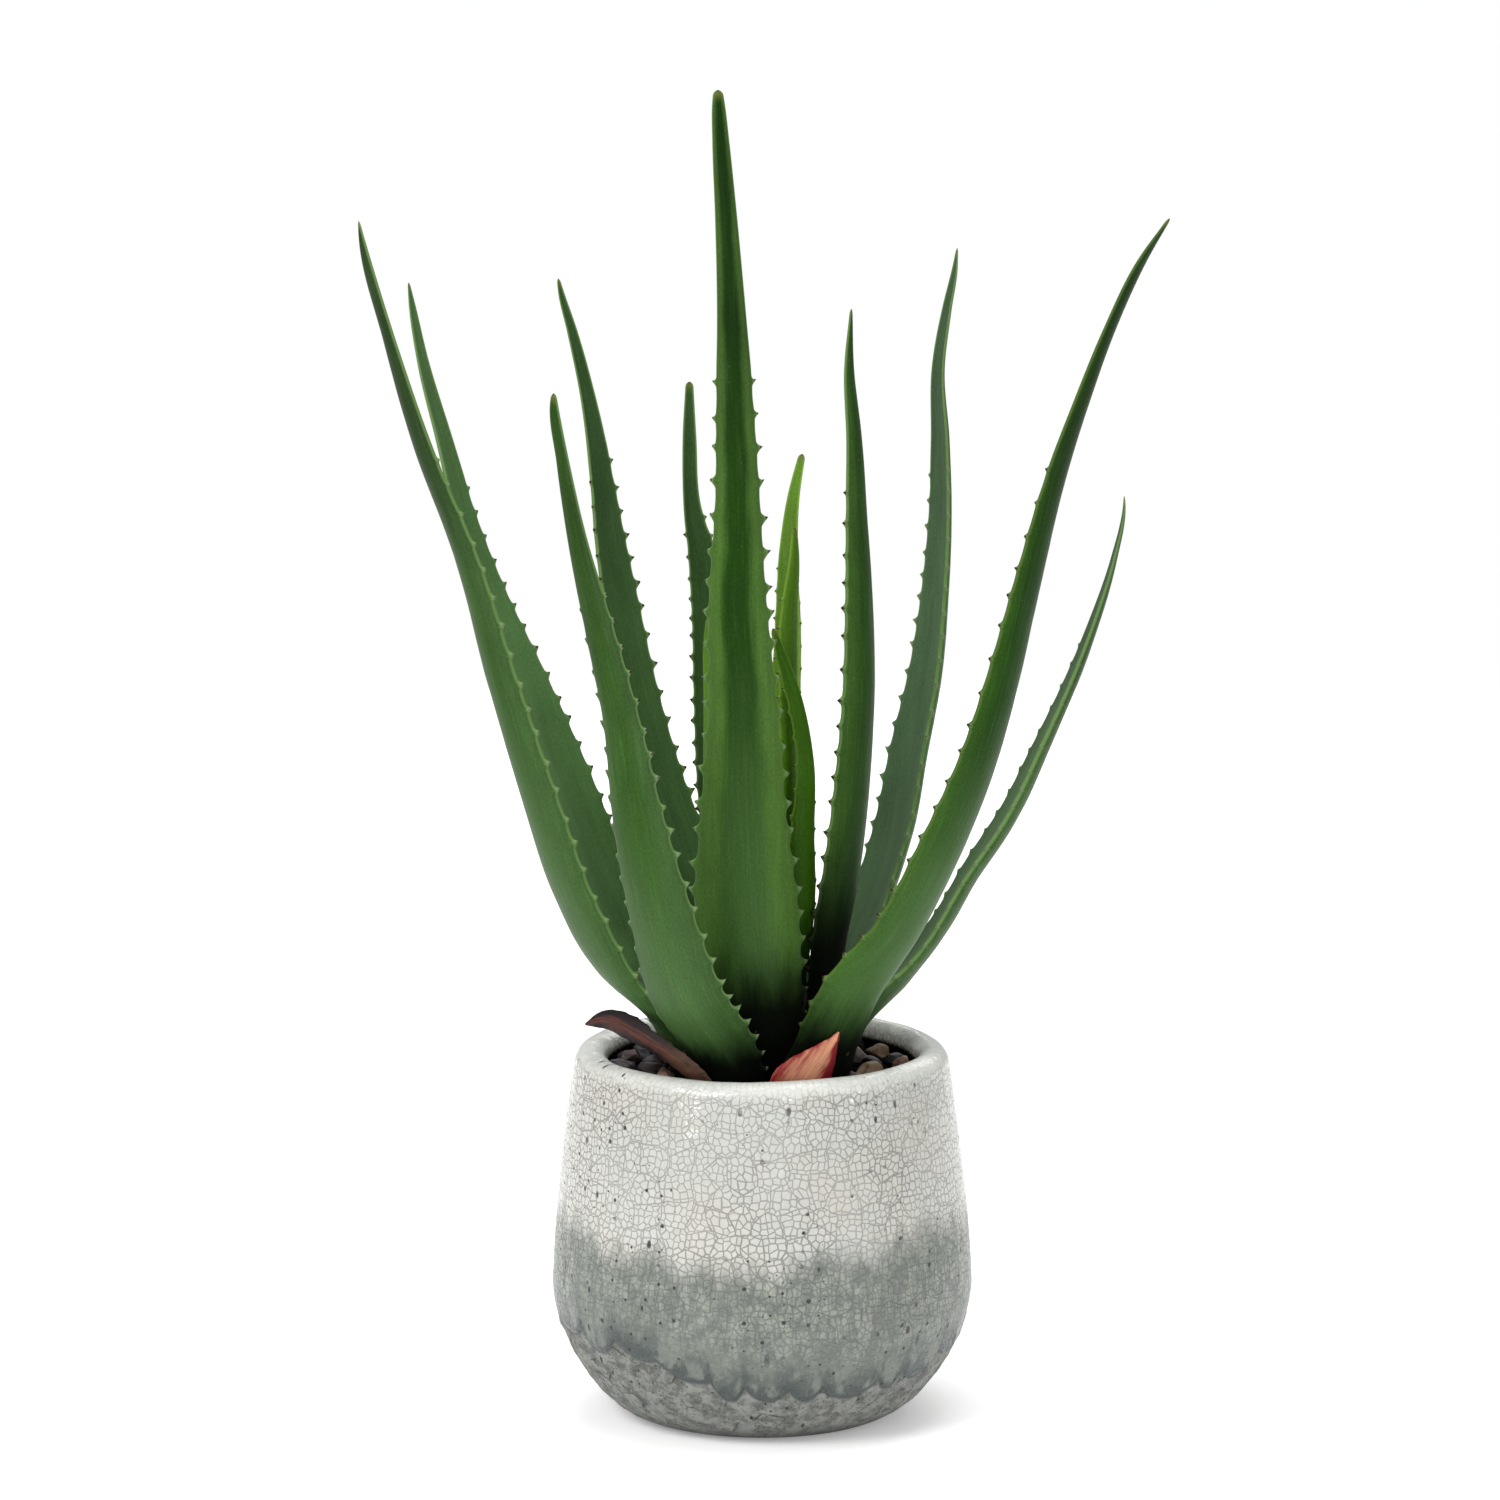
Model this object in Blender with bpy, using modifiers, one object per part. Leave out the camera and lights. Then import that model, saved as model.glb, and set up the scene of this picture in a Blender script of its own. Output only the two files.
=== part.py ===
# Potted aloe: a glazed round pot, potting soil, a rosette of fourteen leaves on a short stem,
# two dry leaf sheaths at its foot and a layer of loose pebbles on the soil.
# Metres, +Z up. The origin is the middle of the pot's flat underside; -Y is the plant's front.

import math
import random

import bmesh
import bpy
from mathutils import Vector, noise

MM = 0.001
GAP = 0.3 * MM                      # clearance between pieces that rest on each other

# Pot
POT_HEIGHT = 139.0 * MM
FOOT_RADIUS = 45.0 * MM             # flat ring-less underside
BELLY_RADIUS = 78.7 * MM
BELLY_HEIGHT = 49.0 * MM
NECK_RADIUS = 70.0 * MM             # outside, where the lip begins
LIP_RADIUS = 6.2 * MM               # half the thickness of the rounded lip
WALL = 8.5 * MM
FLOOR = 9.0 * MM
FOOT_ROUNDNESS = 1.65               # exponent of the curve from foot to belly
SHOULDER_BEND = 1.5                 # exponent of the curve from belly to lip
POT_STEPS = 48
INSIDE_ROWS = 9
FOOT_ROWS = 7
SHOULDER_ROWS = 5
LIP_ROWS = 6

# Soil and stem
SOIL_BELOW_RIM = 13.0 * MM
WALL_CLEARANCE = 0.5 * MM
STEM_RADIUS = 10.5 * MM
STEM_TOP_RADIUS = 4.5 * MM
STEM_RISE = 34.0 * MM               # above the soil
STEM_DEPTH = 14.0 * MM              # below the soil

# Leaves
LEAF_THICKNESS = 7.0 * MM           # at a leaf's seat, its thickest place
DRAWN_THICKNESS = 7.0 * MM          # what the spines' places allow for; thicker leaves spread out
INNER_THICKNESS = 4.2 * MM          # seats of the young leaves round the stem
THICKNESS_SHARE = 0.34              # of a blade's width, where that is thinner than its seat
OUTER_BULGE = 0.62                  # part of the thickness outside the leaf's middle surface
SHEATH_LENGTH = 70.0 * MM           # over this length a seat opens into its blade
TURN_LENGTH = 80.0 * MM             # over this length a leaf turns to its blade's direction
LEAF_SIDES = 12
LEAF_STATIONS = 18
RING_CLEARANCE = 1.0 * MM

# Dry sheaths
SHEATH_THICKNESS = 1.8 * MM
SHEATH_GAP = 1.2 * MM               # between the rosette and the sheaths
SHEATH_ROOM = 7.0 * MM              # beside a sheath's foot, kept free of the inner pebbles
SHEATH_SIDES = 12
SHEATH_STATIONS = 11

# Pebbles
PEBBLE_HEIGHT = 9.6 * MM
OUTER_PEBBLES = 22
INNER_PEBBLES = 18
PEBBLE_SPACING = 0.5 * MM
PEBBLE_CLEARANCE = 0.25 * PEBBLE_HEIGHT    # beside the rosette, whose leaves lean out over them
PEBBLE_SEED = 7

# Derived places
SOIL_LEVEL = POT_HEIGHT - SOIL_BELOW_RIM
INNER_RING = STEM_RADIUS + RING_CLEARANCE + (1 - OUTER_BULGE) * INNER_THICKNESS
MIDDLE_RING = INNER_RING + OUTER_BULGE * INNER_THICKNESS + 2 * RING_CLEARANCE + (1 - OUTER_BULGE) * LEAF_THICKNESS
OUTER_RING = MIDDLE_RING + LEAF_THICKNESS + RING_CLEARANCE
ROSETTE_RADIUS = OUTER_RING + OUTER_BULGE * LEAF_THICKNESS

# Each leaf: the ring its seat stands on, the seat's bearing (0 is +X, 90 is the back), the
# bearing its blade's outer face looks to, how far its blade is channelled, its seat's width,
# and its spine: x, y, height above the soil and blade width, in millimetres.
LEAVES = {
    "leaf_left_outer": (OUTER_RING, 190, 210, 0.42, 28, [
        (-38, -15, 28, 31), (-56, -27, 48, 31), (-70, -35, 76, 29.5), (-82, -41, 114, 26.5),
        (-95, -48, 160, 21), (-107, -55, 205, 16), (-123, -63, 249, 12), (-134, -68, 287, 8),
        (-143, -73, 323, 4), (-144, -74, 330, 1.2)]),
    "leaf_left_back": (OUTER_RING, 133, 147, 0.42, 28, [
        (-38, 24, 31, 33), (-50, 28, 48, 33), (-60, 32, 70, 31), (-74, 40, 107, 27),
        (-89, 48, 143, 22.5), (-102, 55, 173, 18), (-112, 61, 202, 13.5), (-120, 65, 232, 9.5),
        (-128, 68, 262, 6.5), (-132, 70, 284, 3.4), (-133, 71, 291, 1.2)]),
    "leaf_front_left": (OUTER_RING, 248, 243, 0.42, 28, [
        (-17, -37, 20, 31), (-28, -54, 41, 33), (-37, -68, 74, 28), (-45, -78, 112, 22),
        (-51, -86, 151, 15.5), (-59, -92, 187, 12), (-66, -98, 218, 8), (-71, -102, 247, 5.2),
        (-74, -104, 269, 2.6), (-74, -104, 272, 1.2)]),
    "leaf_back_left": (MIDDLE_RING, 122, 132, 0.42, 26, [
        (-17, 29, 35, 30), (-27, 40, 66, 30), (-39, 50, 100, 26), (-48, 60, 136, 21.5),
        (-53, 67, 164, 18), (-58, 70, 194, 14.7), (-61, 72, 217, 11.3), (-66, 76, 247, 7.2),
        (-72, 80, 272, 4.8), (-76, 83, 286, 2.8), (-77, 84, 291, 1.4)]),
    "leaf_tall_centre": (MIDDLE_RING, 268, 268, 0.42, 34, [
        (-3, -29, 36, 39), (-6, -35, 72, 40.5), (-7, -39, 105, 34), (-7, -42, 143, 27.5),
        (-9, -45, 189, 22), (-9, -46, 225, 17.2), (-10, -47, 261, 14.2), (-11, -47, 290, 11),
        (-13, -46, 327, 8.2), (-15, -45, 359, 5.8), (-16, -44, 374, 2.2)]),
    "leaf_back_narrow": (INNER_RING, 105, 95, 0.42, 12, [
        (-10, 18, 55, 15), (-17, 22, 103, 15), (-19, 25, 140, 14), (-20, 27, 169, 13),
        (-22, 29, 192, 11.5), (-26, 30, 212, 6.5), (-27, 31, 238, 4.3), (-27, 32, 257, 2.3)]),
    "leaf_small_inner": (INNER_RING, 180, 200, 0.42, 10, [
        (-17, -2, 56, 12), (-19, -4, 110, 12), (-19, -6, 146, 11), (-20, -7, 166, 7),
        (-20, -8, 176, 2.5)]),
    "leaf_young_back": (INNER_RING, 42, 60, 0.42, 14, [
        (10, 12, 65, 15), (9, 15, 126, 13), (10, 17, 171, 11), (10, 18, 194, 8.2),
        (12, 19, 218, 4.6), (15, 20, 233, 1.7)]),
    "leaf_young_right": (INNER_RING, 332, 320, 0.42, 11, [
        (12, -7, 56, 12), (10, -8, 110, 10), (10, -9, 148, 10), (10, -10, 176, 9.5),
        (12, -11, 200, 4.9), (12, -11, 210, 1.7)]),
    "leaf_young_curved": (INNER_RING, 283, 300, 0.42, 10, [
        (12, -17, 46, 12), (15, -19, 74, 12), (15, -21, 94, 11), (16, -22, 125, 7.5),
        (12, -22, 148, 6.5), (8, -21, 161, 5.4), (4, -20, 174, 2)]),
    "leaf_right_inner": (MIDDLE_RING, 346, 329, 0.42, 22, [
        (24, -8, 36, 26), (26, -10, 56, 26), (30, -12, 80, 25), (34, -14, 116, 23),
        (36, -15, 150, 20), (36, -15, 184, 17), (35, -14, 213, 13.5), (34, -13, 243, 9.5),
        (32, -12, 269, 5.8), (32, -12, 289, 2.3)]),
    "leaf_back_right": (MIDDLE_RING, 52, 30, 0.42, 25, [
        (27, 35, 32, 30), (41, 48, 56, 30), (51, 60, 83, 28), (57, 68, 113, 25.5),
        (63, 74, 143, 21), (66, 77, 169, 17.5), (68, 79, 200, 14.5), (68, 81, 230, 11.5),
        (67, 80, 257, 8), (70, 81, 279, 6), (73, 85, 294, 3.9), (74, 89, 302, 1.3)]),
    "leaf_right_long": (OUTER_RING, 306, 322, 0.42, 28, [
        (25, -28, 18, 31), (34, -33, 39, 33), (51, -41, 65, 31), (66, -51, 97, 29),
        (79, -60, 132, 23.5), (88, -68, 166, 19), (97, -75, 205, 15), (105, -81, 238, 12),
        (114, -88, 267, 9), (123, -95, 293, 7), (134, -104, 319, 5.5), (143, -112, 335, 2)]),
    "leaf_right_short": (OUTER_RING, 4, 5, 0.28, 28, [
        (34, 5, 19, 28), (51, 10, 37, 29), (65, 13, 55, 28), (77, 17, 75, 25), (92, 20, 98, 22),
        (104, 22, 123, 18), (115, 24, 147, 14.5), (124, 26, 170, 11), (131, 28, 192, 7),
        (135, 29, 213, 2.5), (135, 29, 216, 1.3)]),
}

# The dry sheaths stand just outside the rosette: bearing of the foot, bearing the outer face
# looks to, channel, foot width, spine.
DRY_SHEATHS = {
    "dry_sheath_left": (238, 225, 0.8, 12, [
        (-22, -38.5, 7.8, 9), (-31, -39.5, 15.8, 9), (-40, -36.5, 21.5, 11), (-51, -28, 26, 13),
        (-59, -21, 27, 9), (-65, -17, 24.5, 2.5)]),
    "dry_sheath_right": (290, 300, 0.5, 24, [
        (16, -40.5, 8, 24), (18, -40, 13, 22), (23, -38.5, 18, 16), (26.5, -37.5, 22.5, 8),
        (28.5, -37, 25.5, 2)]),
}

COLOURS = {
    "glaze": ((0.62, 0.60, 0.56), 0.25),
    "soil": ((0.020, 0.013, 0.009), 0.95),
    "leaf": ((0.055, 0.130, 0.030), 0.40),
    "young_leaf": ((0.140, 0.270, 0.030), 0.40),
    "stem": ((0.180, 0.200, 0.070), 0.60),
    "dry": ((0.230, 0.060, 0.030), 0.65),
    "pebble": ((0.200, 0.140, 0.100), 0.70),
}
YOUNG = ("leaf_small_inner", "leaf_young_back", "leaf_young_right", "leaf_young_curved")


def clear_scene():
    for obj in list(bpy.data.objects):
        bpy.data.objects.remove(obj, do_unlink=True)


def collection(name):
    group = bpy.data.collections.new(name)
    bpy.context.scene.collection.children.link(group)
    return group


def material(name):
    if name in bpy.data.materials:
        return bpy.data.materials[name]
    colour, roughness = COLOURS[name]
    mat = bpy.data.materials.new(name)
    mat.use_nodes = True
    shader = mat.node_tree.nodes["Principled BSDF"]
    shader.inputs["Base Color"].default_value = (*colour, 1.0)
    shader.inputs["Roughness"].default_value = roughness
    shader.inputs["Metallic"].default_value = 0.0
    return mat


def add_object(name, mesh, mat, group):
    obj = bpy.data.objects.new(name, mesh)
    group.objects.link(obj)
    mesh.materials.append(material(mat))
    return obj


def ease(t):
    t = min(max(t, 0.0), 1.0)
    return t * t * (3 - 2 * t)


# ---- turned pieces --------------------------------------------------------------------------

def outside_radius(z):
    # Foot to belly is a superellipse, belly to neck a slow shoulder.
    if z <= BELLY_HEIGHT:
        drop = (BELLY_HEIGHT - z) / BELLY_HEIGHT
        side = max(1 - drop ** FOOT_ROUNDNESS, 0.0) ** (1 / FOOT_ROUNDNESS)
        return FOOT_RADIUS + (BELLY_RADIUS - FOOT_RADIUS) * side
    rise = (z - BELLY_HEIGHT) / (POT_HEIGHT - LIP_RADIUS - BELLY_HEIGHT)
    return BELLY_RADIUS - (BELLY_RADIUS - NECK_RADIUS) * rise ** SHOULDER_BEND


def inside_radius(z):
    # The wall is even, but the bottom corner is a wide curve and the lip stands in over it.
    lip_foot = POT_HEIGHT - 2 * LIP_RADIUS
    radius = outside_radius(max(z, FLOOR)) - WALL
    above_floor = (z - FLOOR) / (BELLY_HEIGHT - FLOOR)
    if above_floor < 1:
        radius = min(radius, BELLY_RADIUS - WALL)
    if z > lip_foot:
        opening = NECK_RADIUS - 2 * LIP_RADIUS
        radius += (opening - radius) * ease((z - lip_foot) / LIP_RADIUS)
    return radius


def outside_profile():
    heights = [BELLY_HEIGHT * (1 - math.cos(math.pi / 2 * k / FOOT_ROWS)) for k in range(FOOT_ROWS + 1)]
    top = POT_HEIGHT - LIP_RADIUS
    for k in range(1, SHOULDER_ROWS + 1):
        heights.append(BELLY_HEIGHT + (top - BELLY_HEIGHT) * k / SHOULDER_ROWS)
    return [(outside_radius(z), z) for z in reversed(heights)]


def inside_profile():
    top = POT_HEIGHT - LIP_RADIUS
    rows = []
    for k in range(INSIDE_ROWS + 1):
        z = FLOOR + (top - FLOOR) * k / INSIDE_ROWS
        rows.append((inside_radius(z), z))
    return rows


def fill_profile(level, clearance):
    # The same wall, followed from the floor up to a level, and stood off by a clearance.
    rows = inside_profile()
    fill = []
    for (r, z), (next_r, next_z) in zip(rows, rows[1:]):
        if z >= level:
            break
        fill.append((r - clearance, z + clearance * (z == FLOOR)))
        if next_z >= level:
            share = (level - z) / (next_z - z)
            fill.append((r + (next_r - r) * share - clearance, level))
    return fill


def turned(name, profile, mat, group):
    # The profile starts and ends on the axis and runs down the outer side.
    mesh = bpy.data.meshes.new(name)
    edges = [(i, i + 1) for i in range(len(profile) - 1)]
    mesh.from_pydata([(r, 0.0, z) for r, z in profile], edges, [])
    obj = add_object(name, mesh, mat, group)
    screw = obj.modifiers.new("turn", "SCREW")
    screw.steps = POT_STEPS
    screw.render_steps = POT_STEPS
    screw.use_merge_vertices = True
    screw.merge_threshold = 0.00001
    screw.use_smooth_shade = True
    return obj


def make_pot(group):
    lip_centre = NECK_RADIUS - LIP_RADIUS
    lip_height = POT_HEIGHT - LIP_RADIUS
    lip = []
    for k in range(1, LIP_ROWS):
        turn = math.pi * (1 - k / LIP_ROWS)
        lip.append((lip_centre + LIP_RADIUS * math.cos(turn), lip_height + LIP_RADIUS * math.sin(turn)))
    profile = [(0.0, FLOOR)] + inside_profile() + lip + outside_profile() + [(0.0, 0.0)]
    return turned("pot", profile, "glaze", group)


def make_soil(group):
    socket = STEM_RADIUS + GAP
    socket_floor = SOIL_LEVEL - STEM_DEPTH - GAP
    side = fill_profile(SOIL_LEVEL, WALL_CLEARANCE)
    profile = [(0.0, socket_floor), (socket, socket_floor), (socket, SOIL_LEVEL)]
    profile += list(reversed(side)) + [(0.0, FLOOR + WALL_CLEARANCE)]
    return turned("soil", profile, "soil", group)


def make_stem(group):
    top = SOIL_LEVEL + STEM_RISE
    rows = []
    for k in range(5):
        turn = math.pi / 2 * k / 4
        rows.append((STEM_TOP_RADIUS * math.sin(turn), top + STEM_TOP_RADIUS * (math.cos(turn) - 1)))
    profile = rows + [(STEM_RADIUS, SOIL_LEVEL), (STEM_RADIUS, SOIL_LEVEL - STEM_DEPTH)]
    profile += [(0.0, SOIL_LEVEL - STEM_DEPTH)]
    obj = turned("stem", profile, "stem", group)
    obj.modifiers["turn"].steps = 20
    obj.modifiers["turn"].render_steps = 20
    return obj


# ---- leaves ---------------------------------------------------------------------------------

def spine_curve(points, stations):
    # A smooth curve through the spine's points, read at even steps: position and width.
    lengths = [0.0]
    for a, b in zip(points, points[1:]):
        lengths.append(lengths[-1] + (Vector(b[:3]) - Vector(a[:3])).length)
    slopes = []
    for i in range(len(points)):
        before, after = max(i - 1, 0), min(i + 1, len(points) - 1)
        slope = [0.0] * 4
        for k in range(4):
            left = (points[i][k] - points[before][k]) / max(lengths[i] - lengths[before], 1e-9)
            right = (points[after][k] - points[i][k]) / max(lengths[after] - lengths[i], 1e-9)
            if i in (0, len(points) - 1):
                slope[k] = left + right
            else:
                share = (lengths[after] - lengths[i]) / (lengths[after] - lengths[before])
                slope[k] = left * share + right * (1 - share)
        slopes.append(slope)
    rows = []
    for step in range(stations):
        along = lengths[-1] * step / (stations - 1)
        i = 0
        while i < len(points) - 2 and along > lengths[i + 1]:
            i += 1
        span = lengths[i + 1] - lengths[i]
        u = (along - lengths[i]) / span
        row = []
        for k in range(4):
            row.append((2 * u**3 - 3 * u**2 + 1) * points[i][k] + (u**3 - 2 * u**2 + u) * span * slopes[i][k]
                       + (3 * u**2 - 2 * u**3) * points[i + 1][k] + (u**3 - u**2) * span * slopes[i + 1][k])
        rows.append((along, Vector(row[:3]), row[3]))
    return rows


def leaf_sections(spine, seat_ring, seat_bearing, blade_bearing, channel, thickness, stations, sides):
    # Each section is a lens bent round an arc: its seat hugs the ring, its blade opens out.
    rows = spine_curve(spine, stations)
    sections = []
    for i, (along, centre, width) in enumerate(rows):
        before, after = rows[max(i - 1, 0)][1], rows[min(i + 1, stations - 1)][1]
        upward = (after - before).normalized()
        bearing = math.radians(seat_bearing + (blade_bearing - seat_bearing) * ease(along / TURN_LENGTH))
        outward = Vector((math.cos(bearing), math.sin(bearing), 0.0))
        outward = (outward - upward * outward.dot(upward)).normalized()
        across = upward.cross(outward)
        open_out = ease(along / SHEATH_LENGTH)
        seat_bend = width / (2 * seat_ring)
        bend = seat_bend + (channel - seat_bend) * open_out
        arc = width / (2 * bend)
        thick = min(thickness, THICKNESS_SHARE * width)
        outer = OUTER_BULGE * thick
        inner = (1 - OUTER_BULGE) * thick * (1 - 0.75 * open_out)
        section = []
        for k in range(sides):
            turn = 2 * math.pi * k / sides
            offset = (outer if math.sin(turn) > 0 else inner) * math.sin(turn)
            swing = bend * math.cos(turn)
            section.append(centre + across * (arc + offset) * math.sin(swing)
                           + outward * ((arc + offset) * math.cos(swing) - arc))
        sections.append(section)
    # The seat is cut level, just clear of the soil.
    foot = spine[0][2]
    for point in sections[0]:
        point.z = foot
    return sections


def lofted(name, sections, mat, group):
    mesh = bpy.data.meshes.new(name)
    build = bmesh.new()
    rings = [[build.verts.new(point) for point in section] for section in sections]
    sides = len(rings[0])
    for lower, upper in zip(rings, rings[1:]):
        for k in range(sides):
            after = (k + 1) % sides
            build.faces.new((lower[k], upper[k], upper[after], lower[after]))
    build.faces.new(rings[0])
    build.faces.new(list(reversed(rings[-1])))
    bmesh.ops.recalc_face_normals(build, faces=build.faces)
    build.to_mesh(mesh)
    build.free()
    mesh.shade_smooth()
    return add_object(name, mesh, mat, group)


def placed_spine(ring, seat, seat_width, points, spread):
    # From a seat on its ring up through the drawn points, each moved out from the middle by the spread.
    turn = math.radians(seat)
    spine = [(ring * math.cos(turn), ring * math.sin(turn), SOIL_LEVEL + GAP, seat_width * MM)]
    for x, y, height, width in points:
        further = 1 + spread / (math.hypot(x, y) * MM)
        spine.append((x * MM * further, y * MM * further, SOIL_LEVEL + height * MM, width * MM))
    return spine


def make_leaf(name, group):
    ring, seat, blade, channel, seat_width, points = LEAVES[name]
    layers = {INNER_RING: 0.0, MIDDLE_RING: 1 - OUTER_BULGE, OUTER_RING: 2 - OUTER_BULGE}[ring]
    spread = layers * (LEAF_THICKNESS - DRAWN_THICKNESS)
    spine = placed_spine(ring, seat, seat_width, points, spread)
    thickness = INNER_THICKNESS if ring == INNER_RING else LEAF_THICKNESS
    sections = leaf_sections(spine, ring, seat, blade, channel, thickness, LEAF_STATIONS, LEAF_SIDES)
    return lofted(name, sections, "young_leaf" if name in YOUNG else "leaf", group)


def make_dry_sheath(name, group):
    seat, blade, channel, foot_width, points = DRY_SHEATHS[name]
    ring = ROSETTE_RADIUS + SHEATH_GAP + SHEATH_THICKNESS
    spread = 2 * (LEAF_THICKNESS - DRAWN_THICKNESS)
    spine = placed_spine(ring, seat, foot_width, points, spread)
    sections = leaf_sections(spine, ring, seat, blade, channel, SHEATH_THICKNESS, SHEATH_STATIONS,
                             SHEATH_SIDES)
    return lofted(name, sections, "dry", group)


# ---- pebbles --------------------------------------------------------------------------------

def pebble_cells():
    # Two rings of cells between the rosette and the pot's wall, each cell one pebble wide.
    wall = inside_radius(SOIL_LEVEL + PEBBLE_HEIGHT / 2) - PEBBLE_SPACING
    foot = ROSETTE_RADIUS + PEBBLE_CLEARANCE
    depth = (wall - foot) / 2
    for count, radius in ((OUTER_PEBBLES, wall - depth / 2), (INNER_PEBBLES, foot + depth / 2)):
        for k in range(count):
            bearing = 2 * math.pi * (k + 0.5 * (count == INNER_PEBBLES)) / count
            across = 2 * (radius - depth / 2) * math.sin(math.pi / count)
            yield count == INNER_PEBBLES, bearing, radius, depth, across


def sheath_is_near(bearing):
    for seat, _, _, foot_width, _ in DRY_SHEATHS.values():
        room = math.degrees((foot_width * MM / 2 + SHEATH_ROOM) / (ROSETTE_RADIUS + SHEATH_GAP))
        away = abs((math.degrees(bearing) - seat + 180) % 360 - 180)
        if away < room:
            return True
    return False


def make_pebble(name, bearing, radius, depth, across, dice, group):
    # An egg-shaped stone, a little lumpy, that keeps inside its cell.
    half = Vector(((depth - PEBBLE_SPACING) / 2 * dice.uniform(0.86, 1.0),
                   (across - PEBBLE_SPACING) / 2 * dice.uniform(0.84, 1.0),
                   PEBBLE_HEIGHT / 2 * dice.uniform(0.78, 1.0)))
    seed = Vector((dice.uniform(0, 9), dice.uniform(0, 9), dice.uniform(0, 9)))
    mesh = bpy.data.meshes.new(name)
    build = bmesh.new()
    bmesh.ops.create_icosphere(build, subdivisions=2, radius=1.0)
    for vert in build.verts:
        lump = 0.94 + 0.06 * noise.noise(vert.co * 1.3 + seed)
        vert.co = Vector((vert.co.x * half.x, vert.co.y * half.y, vert.co.z * half.z)) * lump
    build.to_mesh(mesh)
    build.free()
    mesh.shade_smooth()
    obj = add_object(name, mesh, "pebble", group)
    lowest = min(vert.co.z for vert in mesh.vertices)
    obj.location = (radius * math.cos(bearing), radius * math.sin(bearing), SOIL_LEVEL + GAP - lowest)
    obj.rotation_euler = (0.0, 0.0, bearing)
    return obj


def make_pebbles(group):
    dice = random.Random(PEBBLE_SEED)
    number = 0
    for inner, bearing, radius, depth, across in pebble_cells():
        if inner and sheath_is_near(bearing):
            continue
        number += 1
        make_pebble(f"pebble_{number:02d}", bearing, radius, depth, across, dice, group)


def main():
    clear_scene()
    group = collection("potted_aloe")
    make_pot(group)
    make_soil(group)
    make_stem(group)
    for name in LEAVES:
        make_leaf(name, group)
    for name in DRY_SHEATHS:
        make_dry_sheath(name, group)
    make_pebbles(group)


main()
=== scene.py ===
import math
import random

import bmesh
import bpy
import numpy as np
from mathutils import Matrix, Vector, noise


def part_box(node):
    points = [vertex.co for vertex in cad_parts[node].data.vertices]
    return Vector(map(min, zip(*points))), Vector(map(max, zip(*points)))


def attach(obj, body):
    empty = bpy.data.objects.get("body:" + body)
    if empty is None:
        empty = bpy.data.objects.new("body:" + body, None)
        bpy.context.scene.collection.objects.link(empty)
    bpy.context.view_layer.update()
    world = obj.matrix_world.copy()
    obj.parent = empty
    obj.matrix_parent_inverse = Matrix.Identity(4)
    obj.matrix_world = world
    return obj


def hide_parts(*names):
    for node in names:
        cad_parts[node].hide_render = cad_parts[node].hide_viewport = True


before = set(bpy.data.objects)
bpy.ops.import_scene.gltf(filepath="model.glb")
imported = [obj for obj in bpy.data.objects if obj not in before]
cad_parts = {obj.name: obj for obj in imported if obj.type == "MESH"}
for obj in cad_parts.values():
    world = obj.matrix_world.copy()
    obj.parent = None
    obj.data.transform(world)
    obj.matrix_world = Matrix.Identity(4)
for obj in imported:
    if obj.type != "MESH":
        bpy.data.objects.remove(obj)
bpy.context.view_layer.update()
mm = 0.001
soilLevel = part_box("soil")[1].z


# Meshes

def addPiece(name, mesh, material, slot, *nodes):
    piece = bpy.data.objects.new(name, mesh)
    bpy.context.scene.collection.objects.link(piece)
    mesh.materials.append(material)
    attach(piece, "root")
    if nodes:
        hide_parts(*nodes)
    return piece


def ringMesh(name, rings, marks=None):
    # Rings of equal length, joined along their run and closed by a fan at each end.
    rows, sides = rings.shape[:2]
    points = np.concatenate([rings.reshape(-1, 3), [rings[0].mean(0)], [rings[-1].mean(0)]])
    r, k = np.meshgrid(np.arange(rows - 1), np.arange(sides), indexing="ij")
    after = (k + 1) % sides
    quads = np.stack([r * sides + k, r * sides + after, (r + 1) * sides + after, (r + 1) * sides + k], -1)
    first, last = rows * sides, rows * sides + 1
    turn = np.arange(sides)
    nextTurn = (turn + 1) % sides
    foot = np.stack([np.full(sides, first), nextTurn, turn], -1)
    tip = np.stack([np.full(sides, last), (rows - 1) * sides + turn, (rows - 1) * sides + nextTurn], -1)
    faces = quads.reshape(-1, 4).tolist() + foot.tolist() + tip.tolist()
    mesh = bpy.data.meshes.new(name)
    mesh.from_pydata(points.tolist(), [], faces)
    faceOut(mesh)
    for label, values in (marks or {}).items():
        ends = [values[0].mean(0)], [values[-1].mean(0)]
        mark(mesh, label, np.concatenate([values.reshape(-1, 3), *ends]))
    return mesh


def faceOut(mesh):
    build = bmesh.new()
    build.from_mesh(mesh)
    bmesh.ops.recalc_face_normals(build, faces=build.faces)
    build.to_mesh(mesh)
    build.free()
    mesh.shade_smooth()


def mark(mesh, label, values):
    layer = mesh.attributes.new(label, "FLOAT_VECTOR", "POINT")
    layer.data.foreach_set("vector", np.asarray(values, np.float32).ravel())


def ease(t):
    t = np.clip(t, 0.0, 1.0)
    return t * t * (3 - 2 * t)


def lumps(points, size, seed, octaves=3):
    # Smooth noise from about -1 to 1 at each point, with lumps of a given size.
    shift = Vector((seed * 7.31, seed * 3.17, seed * 5.71))
    return np.array([noise.fractal(Vector(p) / size + shift, 1.0, 2.0, octaves) for p in points])


# Shader nodes

def addNode(tree, kind, inputs=None, **settings):
    node = tree.nodes.new(kind)
    for label, value in settings.items():
        setattr(node, label, value)
    for label, value in (inputs or {}).items():
        feed(tree, value, node.inputs[label])
    return node


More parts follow.
